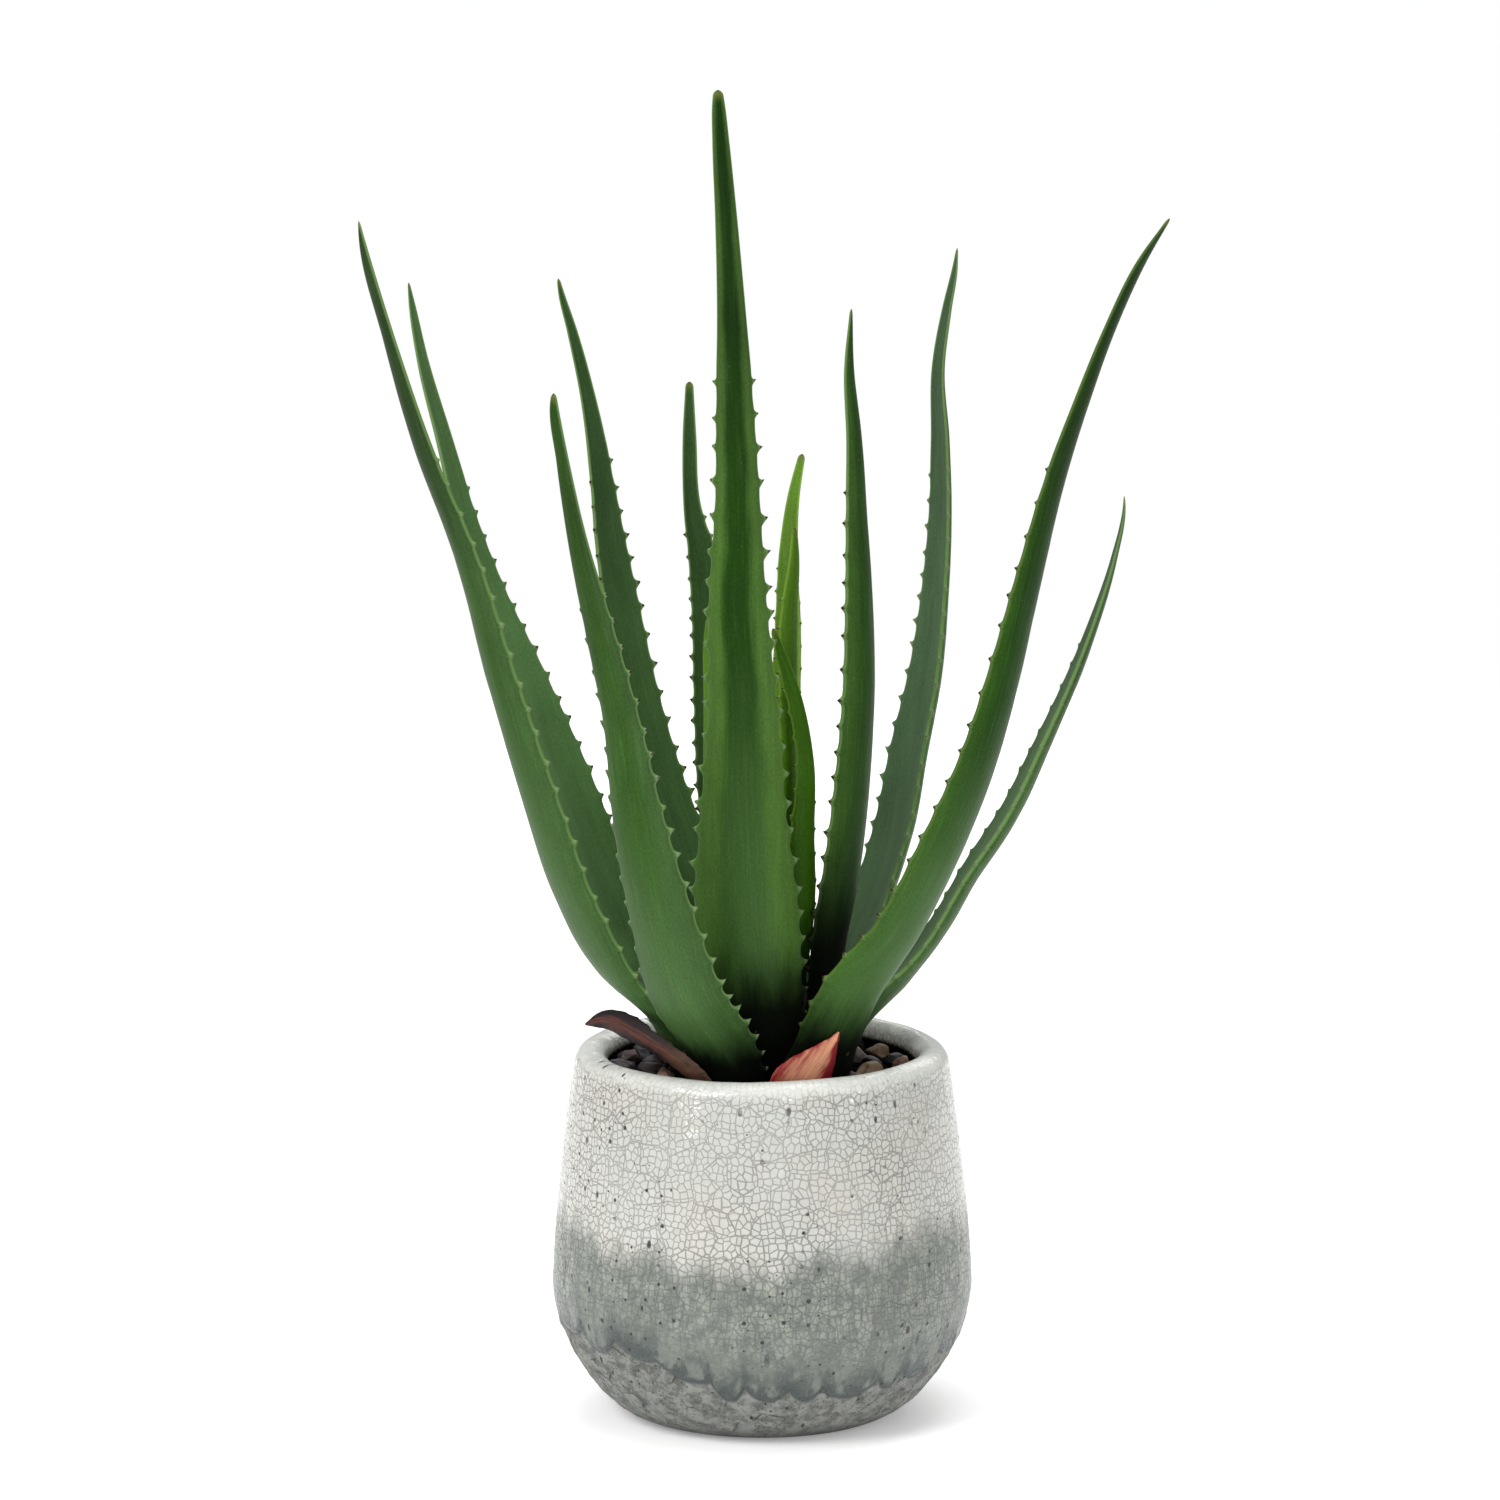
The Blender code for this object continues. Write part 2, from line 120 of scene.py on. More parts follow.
def feed(tree, value, socket):
    if isinstance(value, bpy.types.NodeSocket):
        tree.links.new(value, socket)
    elif isinstance(value, tuple) and len(value) == 3 and socket.type == "RGBA":
        socket.default_value = (*value, 1.0)
    else:
        socket.default_value = value


def calc(tree, operation, a, b=0.0, c=0.0):
    return addNode(tree, "ShaderNodeMath", {0: a, 1: b, 2: c}, operation=operation).outputs[0]


def times(tree, value, *factors):
    for factor in factors:
        value = calc(tree, "MULTIPLY", value, factor)
    return value


def most(tree, value, *others):
    for other in others:
        value = calc(tree, "MAXIMUM", value, other)
    return value


def plus(tree, base, value, factor):
    return calc(tree, "MULTIPLY_ADD", value, factor, base)


def sway(tree, base, value, reach):
    # The base pushed up and down by a noise that lies round a half.
    return plus(tree, base, calc(tree, "SUBTRACT", value, 0.5), reach)


def stretch(tree, vector, factors):
    return addNode(tree, "ShaderNodeVectorMath", {0: vector, 1: factors}, operation="MULTIPLY").outputs[0]


def shift(tree, vector, by):
    return addNode(tree, "ShaderNodeVectorMath", {0: vector, 1: by}, operation="ADD").outputs[0]


def fade(tree, value, low, high, atLow=0.0, atHigh=1.0):
    node = addNode(tree, "ShaderNodeMapRange", interpolation_type="SMOOTHSTEP")
    for socket, number in zip(node.inputs[:5], (value, low, high, atLow, atHigh)):
        feed(tree, number, socket)
    return node.outputs[0]


def blendColour(tree, share, a, b, way="MIX"):
    node = addNode(tree, "ShaderNodeMix", data_type="RGBA", blend_type=way)
    for index, value in ((0, share), (6, a), (7, b)):
        feed(tree, value, node.inputs[index])
    return node.outputs[2]


def cloud(tree, vector, scale, detail=3.0, rough=0.55, warp=0.0):
    inputs = {"Vector": vector, "Scale": scale, "Detail": detail, "Roughness": rough, "Distortion": warp}
    return addNode(tree, "ShaderNodeTexNoise", inputs).outputs[0]


def cells(tree, vector, scale, output="Distance", uneven=1.0, **settings):
    inputs = {"Vector": vector, "Scale": scale, "Randomness": uneven}
    return addNode(tree, "ShaderNodeTexVoronoi", inputs, voronoi_dimensions="2D", **settings).outputs[output]


def shaded(tree, colour, level):
    grey = addNode(tree, "ShaderNodeCombineXYZ", {0: level, 1: level, 2: level}).outputs[0]
    return blendColour(tree, 1.0, colour, grey, "MULTIPLY")


def split(tree, vector):
    return addNode(tree, "ShaderNodeSeparateXYZ", {0: vector}).outputs


def newGroup(name, inputs, outputs):
    group = bpy.data.node_groups.new(name, "ShaderNodeTree")
    kinds = {"v": "NodeSocketVector", "f": "NodeSocketFloat", "c": "NodeSocketColor"}
    for label, kind, value in inputs:
        socket = group.interface.new_socket(name=label, in_out="INPUT", socket_type=kinds[kind])
        if kind != "v":
            socket.default_value = (*value, 1.0) if kind == "c" else value
    for label, kind in outputs:
        group.interface.new_socket(name=label, in_out="OUTPUT", socket_type=kinds[kind])
    given = group.nodes.new("NodeGroupInput").outputs
    result = group.nodes.new("NodeGroupOutput").inputs
    return group, given, result


def useGroup(tree, group, **inputs):
    node = tree.nodes.new("ShaderNodeGroup")
    node.node_tree = group
    for label, value in inputs.items():
        feed(tree, value, node.inputs[label])
    return node.outputs


def newMaterial(name):
    material = bpy.data.materials.new(name)
    material.use_nodes = True
    tree = material.node_tree
    return material, tree, tree.nodes["Principled BSDF"]


def attribute(tree, label):
    return addNode(tree, "ShaderNodeAttribute", attribute_name=label).outputs["Vector"]


def place(tree):
    return addNode(tree, "ShaderNodeTexCoord").outputs["Object"]


def dress(tree, shader, colour, roughness, specular, height, depth, strength=1.0):
    bump = addNode(tree, "ShaderNodeBump", {"Height": height, "Distance": depth, "Strength": strength})
    for made, label in ((colour, "Base Color"), (roughness, "Roughness"), (bump.outputs[0], "Normal")):
        tree.links.new(made, shader.inputs[label])
    shader.inputs["Specular IOR Level"].default_value = specular


# Shared effects

def makeMottle():
    # Uneven tone: a colour lightened and darkened in patches of a size, in metres.
    group, given, result = newGroup(
        "mottle",
        [("Vector", "v", 0), ("Colour", "c", (0.5, 0.5, 0.5)), ("Patch Scale", "f", 80.0),
         ("Amount", "f", 0.2)],
        [("Colour", "c"), ("Value", "f")])
    patches = cloud(group, given["Vector"], given["Patch Scale"], 4.0)
    level = sway(group, 1.0, patches, times(group, given["Amount"], 2.0))
    feed(group, shaded(group, given["Colour"], level), result["Colour"])
    feed(group, patches, result["Value"])
    return group


def makeSpots(name, dimensions):
    # Scattered small round spots: pinholes in glaze, flecks on leaves, grains on stone.
    group, given, result = newGroup(
        name,
        [("Vector", "v", 0), ("Scale", "f", 200.0), ("Share", "f", 0.3), ("Radius", "f", 0.15)],
        [("Mask", "f")])
    voronoi = addNode(group, "ShaderNodeTexVoronoi", {"Vector": given["Vector"], "Scale": given["Scale"]},
                      voronoi_dimensions=dimensions)
    tone = split(group, voronoi.outputs["Color"])
    chosen = calc(group, "LESS_THAN", tone[0], given["Share"])
    size = times(group, given["Radius"], plus(group, 0.4, tone[1], 0.9))
    inside = fade(group, voronoi.outputs["Distance"], size, times(group, size, 0.55), 0.0, 1.0)
    feed(group, times(group, inside, chosen), result["Mask"])
    return group


def makeGrain():
    # Two scales of surface grain, for relief.
    group, given, result = newGroup(
        "grain",
        [("Vector", "v", 0), ("Coarse", "f", 200.0), ("Fine", "f", 1500.0), ("Fine Share", "f", 0.4)],
        [("Height", "f")])
    coarse = cloud(group, given["Vector"], given["Coarse"], 4.0)
    fine = cloud(group, given["Vector"], given["Fine"], 3.0)
    feed(group, plus(group, coarse, fine, given["Fine Share"]), result["Height"])
    return group


mottle, grain = makeMottle(), makeGrain()
spots, flatSpots = makeSpots("spots", "3D"), makeSpots("flatSpots", "2D")
print("shared effects ready")


# Leaves

# Seat ring radii as in the CAD, in millimetres.
rings = {"inner": 13.096, "middle": 20.36, "outer": 28.36}
leafShape = {
    "thickness": 7.0,
    "innerThickness": 4.2,
    "thicknessShare": 0.34,
    "outerBulge": 0.62,
    "sheathLength": 70.0,
    "turnLength": 80.0,
    "sides": 28,
    "step": 0.6,                 # between rings along the leaf
    "scallop": (0.9, 0.35),      # how far the margin draws in between two teeth, low and high
    "usualTooth": 2.4,           # the height that the next two go with
    "toothSpread": 2.5,          # half the foot of a full tooth
    "toothReach": 0.95,          # how far a tooth's root reaches into the blade
    "marginReach": 2.2,          # how far the drawn-in margin does
    "lumpSize": 16.0, "lumpHeight": 0.22,
    "roundedTip": 2.0,           # length of the rounding at a leaf's end
}

# Colours per tone; the paler flank colour is partly the leaf's own bloom and partly painted sheen.
tones = {
    "deep": {"Core": (0.008, 0.040, 0.000), "Low": (0.040, 0.100, 0.020), "Flank Sheen": (0.044, 0.108, 0.012),
             "Inner": (0.042, 0.096, 0.026)},
    "grey": {"Core": (0.024, 0.070, 0.008), "Low": (0.047, 0.102, 0.029), "Flank Sheen": (0.038, 0.088, 0.021),
             "Inner": (0.042, 0.096, 0.028)},
    "mid": {"Core": (0.014, 0.054, 0.003), "Low": (0.018, 0.064, 0.006), "Flank Sheen": (0.031, 0.082, 0.011),
            "Inner": (0.036, 0.086, 0.022)},
    "dusky": {"Core": (0.030, 0.080, 0.014), "Low": (0.040, 0.110, 0.014), "Flank Sheen": (0.044, 0.100, 0.026),
              "Inner": (0.060, 0.128, 0.046)},
    "young": {"Core": (0.034, 0.105, 0.002), "Low": (0.014, 0.055, 0.002), "Flank Sheen": (0.046, 0.130, 0.004),
              "Inner": (0.090, 0.205, 0.016)},
    "bright": {"Core": (0.085, 0.215, 0.008), "Low": (0.030, 0.100, 0.004), "Flank Sheen": (0.110, 0.250, 0.016),
               "Inner": (0.120, 0.260, 0.022)},
}

# ring, seat and blade bearings, seat width, tone, tooth height, tooth pitch, first tooth on the
# right and left margins (distance from the foot) and the spine: x, y, height above the soil, width.
leaves = {
    "leaf_left_outer": ("outer", 190, 210, 28, "grey", 1.9, 11.0, 269, 262, [
        (-38, -15, 28, 31), (-56, -27, 48, 31), (-70, -35, 76, 29.5), (-82, -41, 114, 26.5),
        (-95, -48, 160, 21), (-107, -55, 205, 16), (-123, -63, 249, 12), (-134, -68, 287, 8),
        (-143, -73, 323, 4), (-144, -74, 330, 1.2)]),
    "leaf_left_back": ("outer", 133, 147, 28, "dusky", 2.1, 9.5, 231, 238, [
        (-38, 24, 31, 33), (-50, 28, 48, 33), (-60, 32, 70, 31), (-74, 40, 107, 27),
        (-89, 48, 143, 22.5), (-102, 55, 173, 18), (-112, 61, 202, 13.5), (-120, 65, 232, 9.5),
        (-128, 68, 262, 6.5), (-132, 70, 284, 3.4), (-133, 71, 291, 1.2)]),
    "leaf_front_left": ("outer", 248, 243, 28, "grey", 2.2, 10.6, 218, 213, [
        (-17, -37, 20, 31), (-28, -54, 41, 33), (-37, -68, 74, 28), (-45, -78, 112, 22),
        (-51, -86, 151, 15.5), (-59, -92, 187, 12), (-66, -98, 218, 8), (-71, -102, 247, 5.2),
        (-74, -104, 269, 3.0), (-74, -104, 272, 2.0)]),
    "leaf_back_left": ("middle", 122, 132, 26, "mid", 2.2, 10.0, 229, 236, [
        (-17, 29, 35, 30), (-27, 40, 66, 30), (-39, 50, 100, 26), (-48, 60, 136, 21.5),
        (-53, 67, 164, 18), (-58, 70, 194, 14.7), (-61, 72, 217, 11.3), (-66, 76, 247, 7.2),
        (-72, 80, 272, 4.8), (-76, 83, 286, 2.8), (-77, 84, 291, 1.4)]),
    "leaf_tall_centre": ("middle", 268, 268, 34, "deep", 2.6, 11.6, 270.6, 270.6, [
        (-3, -29, 36, 39), (-6, -35, 72, 40.5), (-7, -39, 105, 34), (-7, -42, 143, 27.5),
        (-9, -45, 189, 22), (-9, -46, 225, 17.2), (-10, -47, 261, 14.2), (-11, -47, 290, 11),
        (-13, -46, 327, 8.2), (-15, -45, 356, 6.2), (-15.8, -44.2, 369, 4.7),
        (-16, -44, 374, 3.4)]),
    "leaf_back_narrow": ("inner", 105, 95, 12, "mid", 1.7, 7.8, 204, 209, [
        (-10, 18, 55, 15), (-17, 22, 103, 15), (-19, 25, 140, 14), (-20, 27, 169, 13),
        (-22, 29, 192, 11.5), (-26, 30, 212, 6.7), (-27, 31, 238, 5.2), (-27, 32, 258.5, 2.9)]),
    "leaf_small_inner": ("inner", 180, 200, 10, "bright", 1.4, 8.0, 158, 160, [
        (-17, -2, 56, 12), (-19, -4, 110, 12), (-19, -6, 146, 11), (-20, -7, 166, 7),
        (-20, -8, 176, 3.0)]),
    "leaf_young_back": ("inner", 42, 60, 14, "bright", 1.2, 9.0, 190, 186, [
        (10, 12, 65, 15), (9, 15, 126, 13), (10, 17, 171, 11), (10, 18, 194, 8.2),
        (12, 19, 218, 5.0), (15, 20, 233, 2.8)]),
    "leaf_young_right": ("inner", 332, 320, 11, "bright", 1.5, 9.0, 187, 183, [
        (12, -7, 56, 12), (10, -8, 110, 10), (10, -9, 148, 10), (10, -10, 176, 9.5),
        (12, -11, 200, 5.2), (12, -11, 210, 2.6)]),
    "leaf_young_curved": ("inner", 283, 300, 10, "young", 1.4, 10.0, 110, 166, [
        (12, -17, 46, 12), (15, -19, 74, 12), (15, -21, 94, 11), (16, -22, 125, 7.5),
        (12, -22, 148, 6.5), (8, -21, 161, 5.4), (4, -20, 174, 2)]),
    "leaf_right_inner": ("middle", 346, 329, 22, "mid", 2.0, 10.8, 218, 225, [
        (24, -8, 36, 26), (26, -10, 56, 26), (30, -12, 80, 25), (34, -14, 116, 23),
        (36, -15, 150, 20), (36, -15, 184, 17), (35, -14, 213, 13.5), (34, -13, 243, 9.5),
        (32, -12, 269, 6.0), (32.6, -12, 291, 1.6)]),
    "leaf_back_right": ("middle", 52, 30, 25, "dusky", 1.9, 9.7, 238, 241, [
        (27, 35, 32, 30), (41, 48, 56, 30), (51, 60, 83, 28), (57, 68, 113, 25.5),
        (63, 74, 143, 21), (66, 77, 169, 17.5), (68, 79, 200, 14.5), (68, 81, 230, 11.5),
        (67, 80, 257, 8), (70, 81, 279, 6), (73, 85, 294, 3.9), (74, 89, 302, 1.3)]),
    "leaf_right_long": ("outer", 306, 322, 28, "deep", 1.7, 11.8, 260, 266, [
        (25, -28, 18, 31), (34, -33, 39, 33), (51, -41, 65, 31), (66, -51, 97, 29),
        (79, -60, 132, 23.5), (88, -68, 166, 19), (97, -75, 205, 15), (105, -81, 238, 12),
        (114, -88, 267, 9), (123, -95, 293, 7), (134, -104, 319, 5.5), (143, -112, 335, 2)]),
    "leaf_right_short": ("outer", 4, 5, 28, "grey", 1.8, 8.7, 187, 181, [
        (34, 5, 19, 28), (51, 10, 37, 29), (65, 13, 55, 28), (77, 17, 75, 25), (92, 20, 98, 22),
        (104, 22, 123, 18), (115, 24, 147, 14.5), (124, 26, 170, 11), (131, 28, 192, 7),
        (135, 29, 213, 2.5), (135, 29, 216, 1.3)]),
}
# How far a blade is channelled and where its teeth stop above the foot.
channels, usualChannel = {"leaf_right_short": 0.28}, 0.42
lowestTeeth, usualLowest = {"leaf_front_left": 7.0}, 20.0


def spineCurve(points, step):
    # A smooth curve through the spine's points, in millimetres: distance along, place and width.
    points = np.array(points, float)
    runs = np.linalg.norm(np.diff(points[:, :3], axis=0), axis=1)
    lengths = np.concatenate([[0.0], np.cumsum(runs)])
    grades = np.diff(points, axis=0) / runs[:, None]
    slopes = np.empty_like(points)
    slopes[0], slopes[-1] = grades[0], grades[-1]
    share = (runs[1:] / (runs[1:] + runs[:-1]))[:, None]
    slopes[1:-1] = grades[:-1] * share + grades[1:] * (1 - share)
    along = np.linspace(0.0, lengths[-1], int(lengths[-1] / step) + 1)
    i = np.clip(np.searchsorted(lengths, along) - 1, 0, len(points) - 2)
    span = runs[i][:, None]
    u = ((along - lengths[i]) / runs[i])[:, None]
    rows = ((2 * u**3 - 3 * u**2 + 1) * points[i] + (u**3 - 2 * u**2 + u) * span * slopes[i]
            + (3 * u**2 - 2 * u**3) * points[i + 1] + (u**3 - u**2) * span * slopes[i + 1])
    return along, rows[:, :3], rows[:, 3]


def toothLine(along, first, last, pitch, height, dice):
    # The margin's outline: a tooth at each place, hollows between, and none near the tip.
    places = []
    at = first
    while at > last:
        places.append(at)
        closer = 0.52 + 0.48 * min(at / 70, 1.0)
        at -= pitch * closer * dice.uniform(0.84, 1.16)
    places = np.array(places)
    spike = np.zeros_like(along)
    lean = np.zeros_like(along)
    peak = np.zeros_like(along)
    for tooth in places:
        full = height * dice.uniform(0.85, 1.12) * (0.72 + 0.28 * ease((first - tooth) / 60))
        spread = leafShape["toothSpread"] * full / leafShape["usualTooth"]
        near = np.clip(1 - np.abs(along - tooth) / spread, 0, 1)
        grown = near ** 1.75
        lean = np.where(full * grown > spike, dice.uniform(0.1, 0.55) * grown, lean)
        spike = np.maximum(spike, full * grown)
        peak = np.maximum(peak, grown)
    steps = np.abs(along[:, None] - places[None, :]).min(1)
    gaps = np.clip(steps / (pitch / 2), 0, 1)
    inTeeth = ease((first + pitch * 0.6 - along) / pitch) * ease((along - last + 12) / 14)
    low, high = leafShape["scallop"]
    depth = low + (high - low) * ease(along / first)
    cusp = ((1 - gaps) ** 1.6 - 1) * inTeeth * depth * height / leafShape["usualTooth"]
    return spike, cusp, lean, peak


def leafRings(along, centre, width, ring, seat, blade, channel, thickness, sides):
    # Every section is a lens bent round an arc: the seat hugs its ring, the blade opens out.
    upward = np.gradient(centre, axis=0)
    upward /= np.linalg.norm(upward, axis=1)[:, None]
    bearing = np.radians(seat + (blade - seat) * ease(along / leafShape["turnLength"]))
    outward = np.stack([np.cos(bearing), np.sin(bearing), 0 * bearing], 1)
    outward -= upward * (outward * upward).sum(1)[:, None]
    outward /= np.linalg.norm(outward, axis=1)[:, None]
    across = np.cross(upward, outward)
    openOut = ease(along / leafShape["sheathLength"])
    seatBend = width / (2 * ring)
    bend = seatBend + (channel - seatBend) * openOut
    arc = width / (2 * bend)
    thick = np.minimum(thickness, leafShape["thicknessShare"] * width)
    outer = leafShape["outerBulge"] * thick
    inner = (1 - leafShape["outerBulge"]) * thick * (1 - 0.75 * openOut)
    turn = 2 * np.pi * np.arange(sides) / sides
    sine, cosine = np.sin(turn)[None, :], np.cos(turn)[None, :]
    offset = np.where(sine > 0, outer[:, None], inner[:, None]) * sine
    swing = bend[:, None] * cosine
    reach = (arc[:, None] + offset) * np.sin(swing)
    lift = (arc[:, None] + offset) * np.cos(swing) - arc[:, None]
    points = centre[:, None] + across[:, None] * reach[..., None] + outward[:, None] * lift[..., None]
    rimWay = across[:, None] * np.cos(swing)[..., None] - outward[:, None] * np.sin(swing)[..., None]
    rimWay = rimWay * np.sign(cosine)[..., None]
    return points, rimWay, upward, cosine, sine


def makeLeaf(name, number):
    ring, seat, blade, seatWidth, tone, toothHeight, pitch, firstRight, firstLeft, points = leaves[name]
    radius = rings[ring]
    turn = math.radians(seat)
    base = [(radius * math.cos(turn), radius * math.sin(turn), 0.3, seatWidth)]
    along, centre, width = spineCurve(base + points, leafShape["step"])
    total = along[-1]
    dice = random.Random(number)
    sides = leafShape["sides"]
    thickness = leafShape["innerThickness" if ring == "inner" else "thickness"]
    beyond = np.clip(1 - (total - along) / leafShape["roundedTip"], 0, 1)
    width = width * np.maximum(np.sqrt(1 - beyond ** 2), 0.15)
    surface, rimWay, upward, cosine, sine = leafRings(
        along, centre, width, radius, seat, blade, channels.get(name, usualChannel), thickness, sides)
    edge = (width[:, None] / 2) * (1 - np.abs(cosine))
    hold = np.exp(-(edge / leafShape["toothReach"]) ** 1.2)
    lowest = lowestTeeth.get(name, usualLowest)
    bothSides = [toothLine(along, first, lowest, pitch, toothHeight, dice)
                 for first in (firstRight, firstLeft)]
    spike, cusp, lean, peak = (np.where(cosine > 0, right[:, None], left[:, None])
                               for right, left in zip(*bothSides))
    keep = np.exp(-(edge / leafShape["marginReach"]) ** 1.5)
    surface += rimWay * (spike * hold + cusp * keep)[..., None]
    surface += upward[:, None] * (lean * spike * hold)[..., None]
    # Slow unevenness of the flesh, faded out at the margins.
    few = surface[::8, ::4]
    coarse = lumps(few.reshape(-1, 3), leafShape["lumpSize"], number, 2).reshape(few.shape[:2])
    rowAt, sideAt = np.arange(len(along)) / 8, np.arange(sides) / 4
    coarse = np.stack([np.interp(rowAt, np.arange(coarse.shape[0]), column) for column in coarse.T], 1)
    coarse = np.concatenate([coarse, coarse[:, :1]], 1)
    wave = np.stack([np.interp(sideAt, np.arange(coarse.shape[1]), row) for row in coarse])
    inward = centre[:, None] - surface
    inward /= np.maximum(np.linalg.norm(inward, axis=2), 0.1)[..., None]
    wave *= leafShape["lumpHeight"] * np.minimum(width[:, None] / 20, 1) * (1 - keep)
    surface += inward * wave[..., None]
    surface[0, :, 2] = 0.3
    surface[:, :, 2] += soilLevel / mm
    marks = {
        "leafPlace": np.stack([width[:, None] / 2 * cosine + 90 * number + 45 * (sine < -0.01),
                               along[:, None] + 0 * cosine, 0 * edge], -1),
        "leafZone": np.stack([np.abs(cosine) + 0 * edge, (along / total)[:, None] + 0 * edge,
                              np.where(sine < -0.01, 1.0, 0.0) + 0 * edge], -1),
        "leafEdge": np.stack([edge, peak * hold,
                              ease((along - total + 5) / 5)[:, None] + 0 * edge], -1),
    }
    mesh = ringMesh(name, surface * mm, marks)
    pieceName = "".join(part.capitalize() if i else part for i, part in enumerate(name.split("_")))
    slot = "young_leaf" if tone in ("young", "bright") else "leaf"
    return addPiece(pieceName, mesh, leafMaterial(pieceName, name, tone), slot, name)


# The three grains are per millimetre across and along the blade, the spans are shares of its length.
skinSizes = {
    "patches": (0.13, 0.030, 1.0), "patchTone": 0.7,
    "lines": (1.1, 0.035, 1.0), "lineTone": 0.4,
    "grain": (1.5, 0.9, 1.0), "grainTone": 1.4,
    "lowSpan": (0.20, 0.48), "highSpan": (0.50, 0.82), "highPointSpan": (0.38, 0.60),
    "footWander": 18.0,          # how far the shade at the foot comes and goes, in millimetres
    "footLevel": 0.03,
    "margin": (0.20, 0.85), "marginShare": 0.7,
    "fleck": {"Scale": 0.35, "Share": 0.08, "Radius": 0.07}, "fleckShare": 0.22,
    "scar": {"Scale": 0.040, "Share": 0.10, "Radius": 0.035}, "scarShare": 0.7,
    "roughness": 0.34, "shadedRoughness": 0.80,
}
skinTints = {"line": (0.15, 0.25, 0.09), "fleck": (0.22, 0.34, 0.15), "scar": (0.050, 0.075, 0.025),
             "tip": (0.115, 0.150, 0.030), "tipEnd": (0.050, 0.026, 0.012)}


def makeLeafSkin():
    # Waxy skin: a dark middle and greyer flanks, their grey partly the skin's own bloom and partly painted
    # sheen, fine lines, flecks, a pale margin and horny teeth; the foot carries painted shade.
    group, given, result = newGroup(
        "leafSkin",
        [("Place", "v", 0), ("Zone", "v", 0), ("Edge", "v", 0), ("Core", "c", (0.03, 0.08, 0.01)),
         ("Low", "c", (0.04, 0.1, 0.02)), ("Flank Sheen", "c", (0.05, 0.11, 0.03)),
         ("Inner", "c", (0.05, 0.11, 0.04)), ("Margin", "c", (0.14, 0.25, 0.075)),
         ("Horn", "c", (0.20, 0.28, 0.11)),
         ("Point", "c", (0.035, 0.018, 0.010)), ("High Point", "c", (0.030, 0.014, 0.009)),
         ("Core Width", "f", 0.42), ("Stripes", "f", 0.1), ("High Shade", "f", 0.6), ("Dark Until", "f", 8.0),
         ("Clear From", "f", 38.0)],
        [("Colour", "c"), ("Roughness", "f"), ("Height", "f")])
    sizes, tints = skinSizes, skinTints
    spot = given["Place"]
    zone, edge = split(group, given["Zone"]), split(group, given["Edge"])
    patches = cloud(group, stretch(group, spot, sizes["patches"]), 1.0, 3.0)
    lines = cloud(group, stretch(group, spot, sizes["lines"]), 1.0, 4.0, 0.65)
    grainy = cloud(group, stretch(group, spot, sizes["grain"]), 1.0, 4.0, 0.75)
    # Middle to flank across the leaf, the flank colour partly painted sheen where the blade turns away; pale
    # to deep along it.
    halfCore = given["Core Width"]
    flankSheenShare = fade(group, sway(group, zone[0], patches, 0.35), times(group, halfCore, 0.6),
                      times(group, halfCore, 1.6))
    lowShare = fade(group, sway(group, zone[1], patches, 0.25), *sizes["lowSpan"], 1.0, 0.0)
    colour = blendColour(group, lowShare, given["Core"], given["Low"])
    colour = blendColour(group, flankSheenShare, colour, given["Flank Sheen"])
    colour = blendColour(group, zone[2], colour, given["Inner"])
    paler = blendColour(group, 0.5, colour, tints["line"])
    lineShare = times(group, fade(group, lines, 0.48, 0.72), given["Stripes"])
    colour = blendColour(group, lineShare, colour, paler)
    level = 1.0
    for value, tone in ((grainy, "grainTone"), (lines, "lineTone"), (patches, "patchTone")):
        level = sway(group, level, value, sizes[tone])
    highShare = fade(group, zone[1], *sizes["highSpan"])
    highLevel = plus(group, calc(group, "SUBTRACT", 1.0, highShare), highShare, given["High Shade"])
    # Painted shade: each leaf's colour drops to near black at its foot, where the leaves crowd together,
    # clearing between Dark Until and Clear From millimetres up the blade.
    footAlong = sway(group, split(group, spot)[1], patches, sizes["footWander"])
    footShade = fade(group, footAlong, given["Dark Until"], given["Clear From"], sizes["footLevel"], 1.0)
    colour = shaded(group, colour, times(group, level, highLevel, footShade))
    # Pale flecks, a few old scars, the thin margin and the teeth.
    flecks = useGroup(group, flatSpots, Vector=spot, **sizes["fleck"])["Mask"]
    colour = blendColour(group, times(group, flecks, sizes["fleckShare"], footShade), colour, tints["fleck"])
    scars = useGroup(group, flatSpots, Vector=spot, **sizes["scar"])["Mask"]
    colour = blendColour(group, times(group, scars, sizes["scarShare"]), colour, tints["scar"])
    rim = fade(group, edge[0], *sizes["margin"], 1.0, 0.0)
    colour = blendColour(group, times(group, rim, footShade, sizes["marginShare"]), colour, given["Margin"])
    hornShare = times(group, fade(group, edge[1], 0.20, 0.75, 0.0, 0.65), footShade)
    colour = blendColour(group, hornShare, colour, given["Horn"])
    pointShare = fade(group, zone[1], *sizes["highPointSpan"])
    point = blendColour(group, pointShare, given["Point"], given["High Point"])
    colour = blendColour(group, fade(group, edge[1], 0.42, 0.66), colour, point)
    colour = blendColour(group, times(group, edge[2], 0.75), colour, tints["tip"])
    colour = blendColour(group, fade(group, edge[2], 0.93, 1.0), colour, tints["tipEnd"])
    feed(group, colour, result["Colour"])
    # Roughness is raised inside the painted shade so it shows no sheen.
    gloss = fade(group, footShade, 0.1, 0.9, sizes["shadedRoughness"], sizes["roughness"])
    feed(group, plus(group, plus(group, gloss, grainy, 0.20), edge[1], 0.15), result["Roughness"])
    feed(group, plus(group, plus(group, lines, grainy, 0.5), scars, -0.8), result["Height"])
    return group


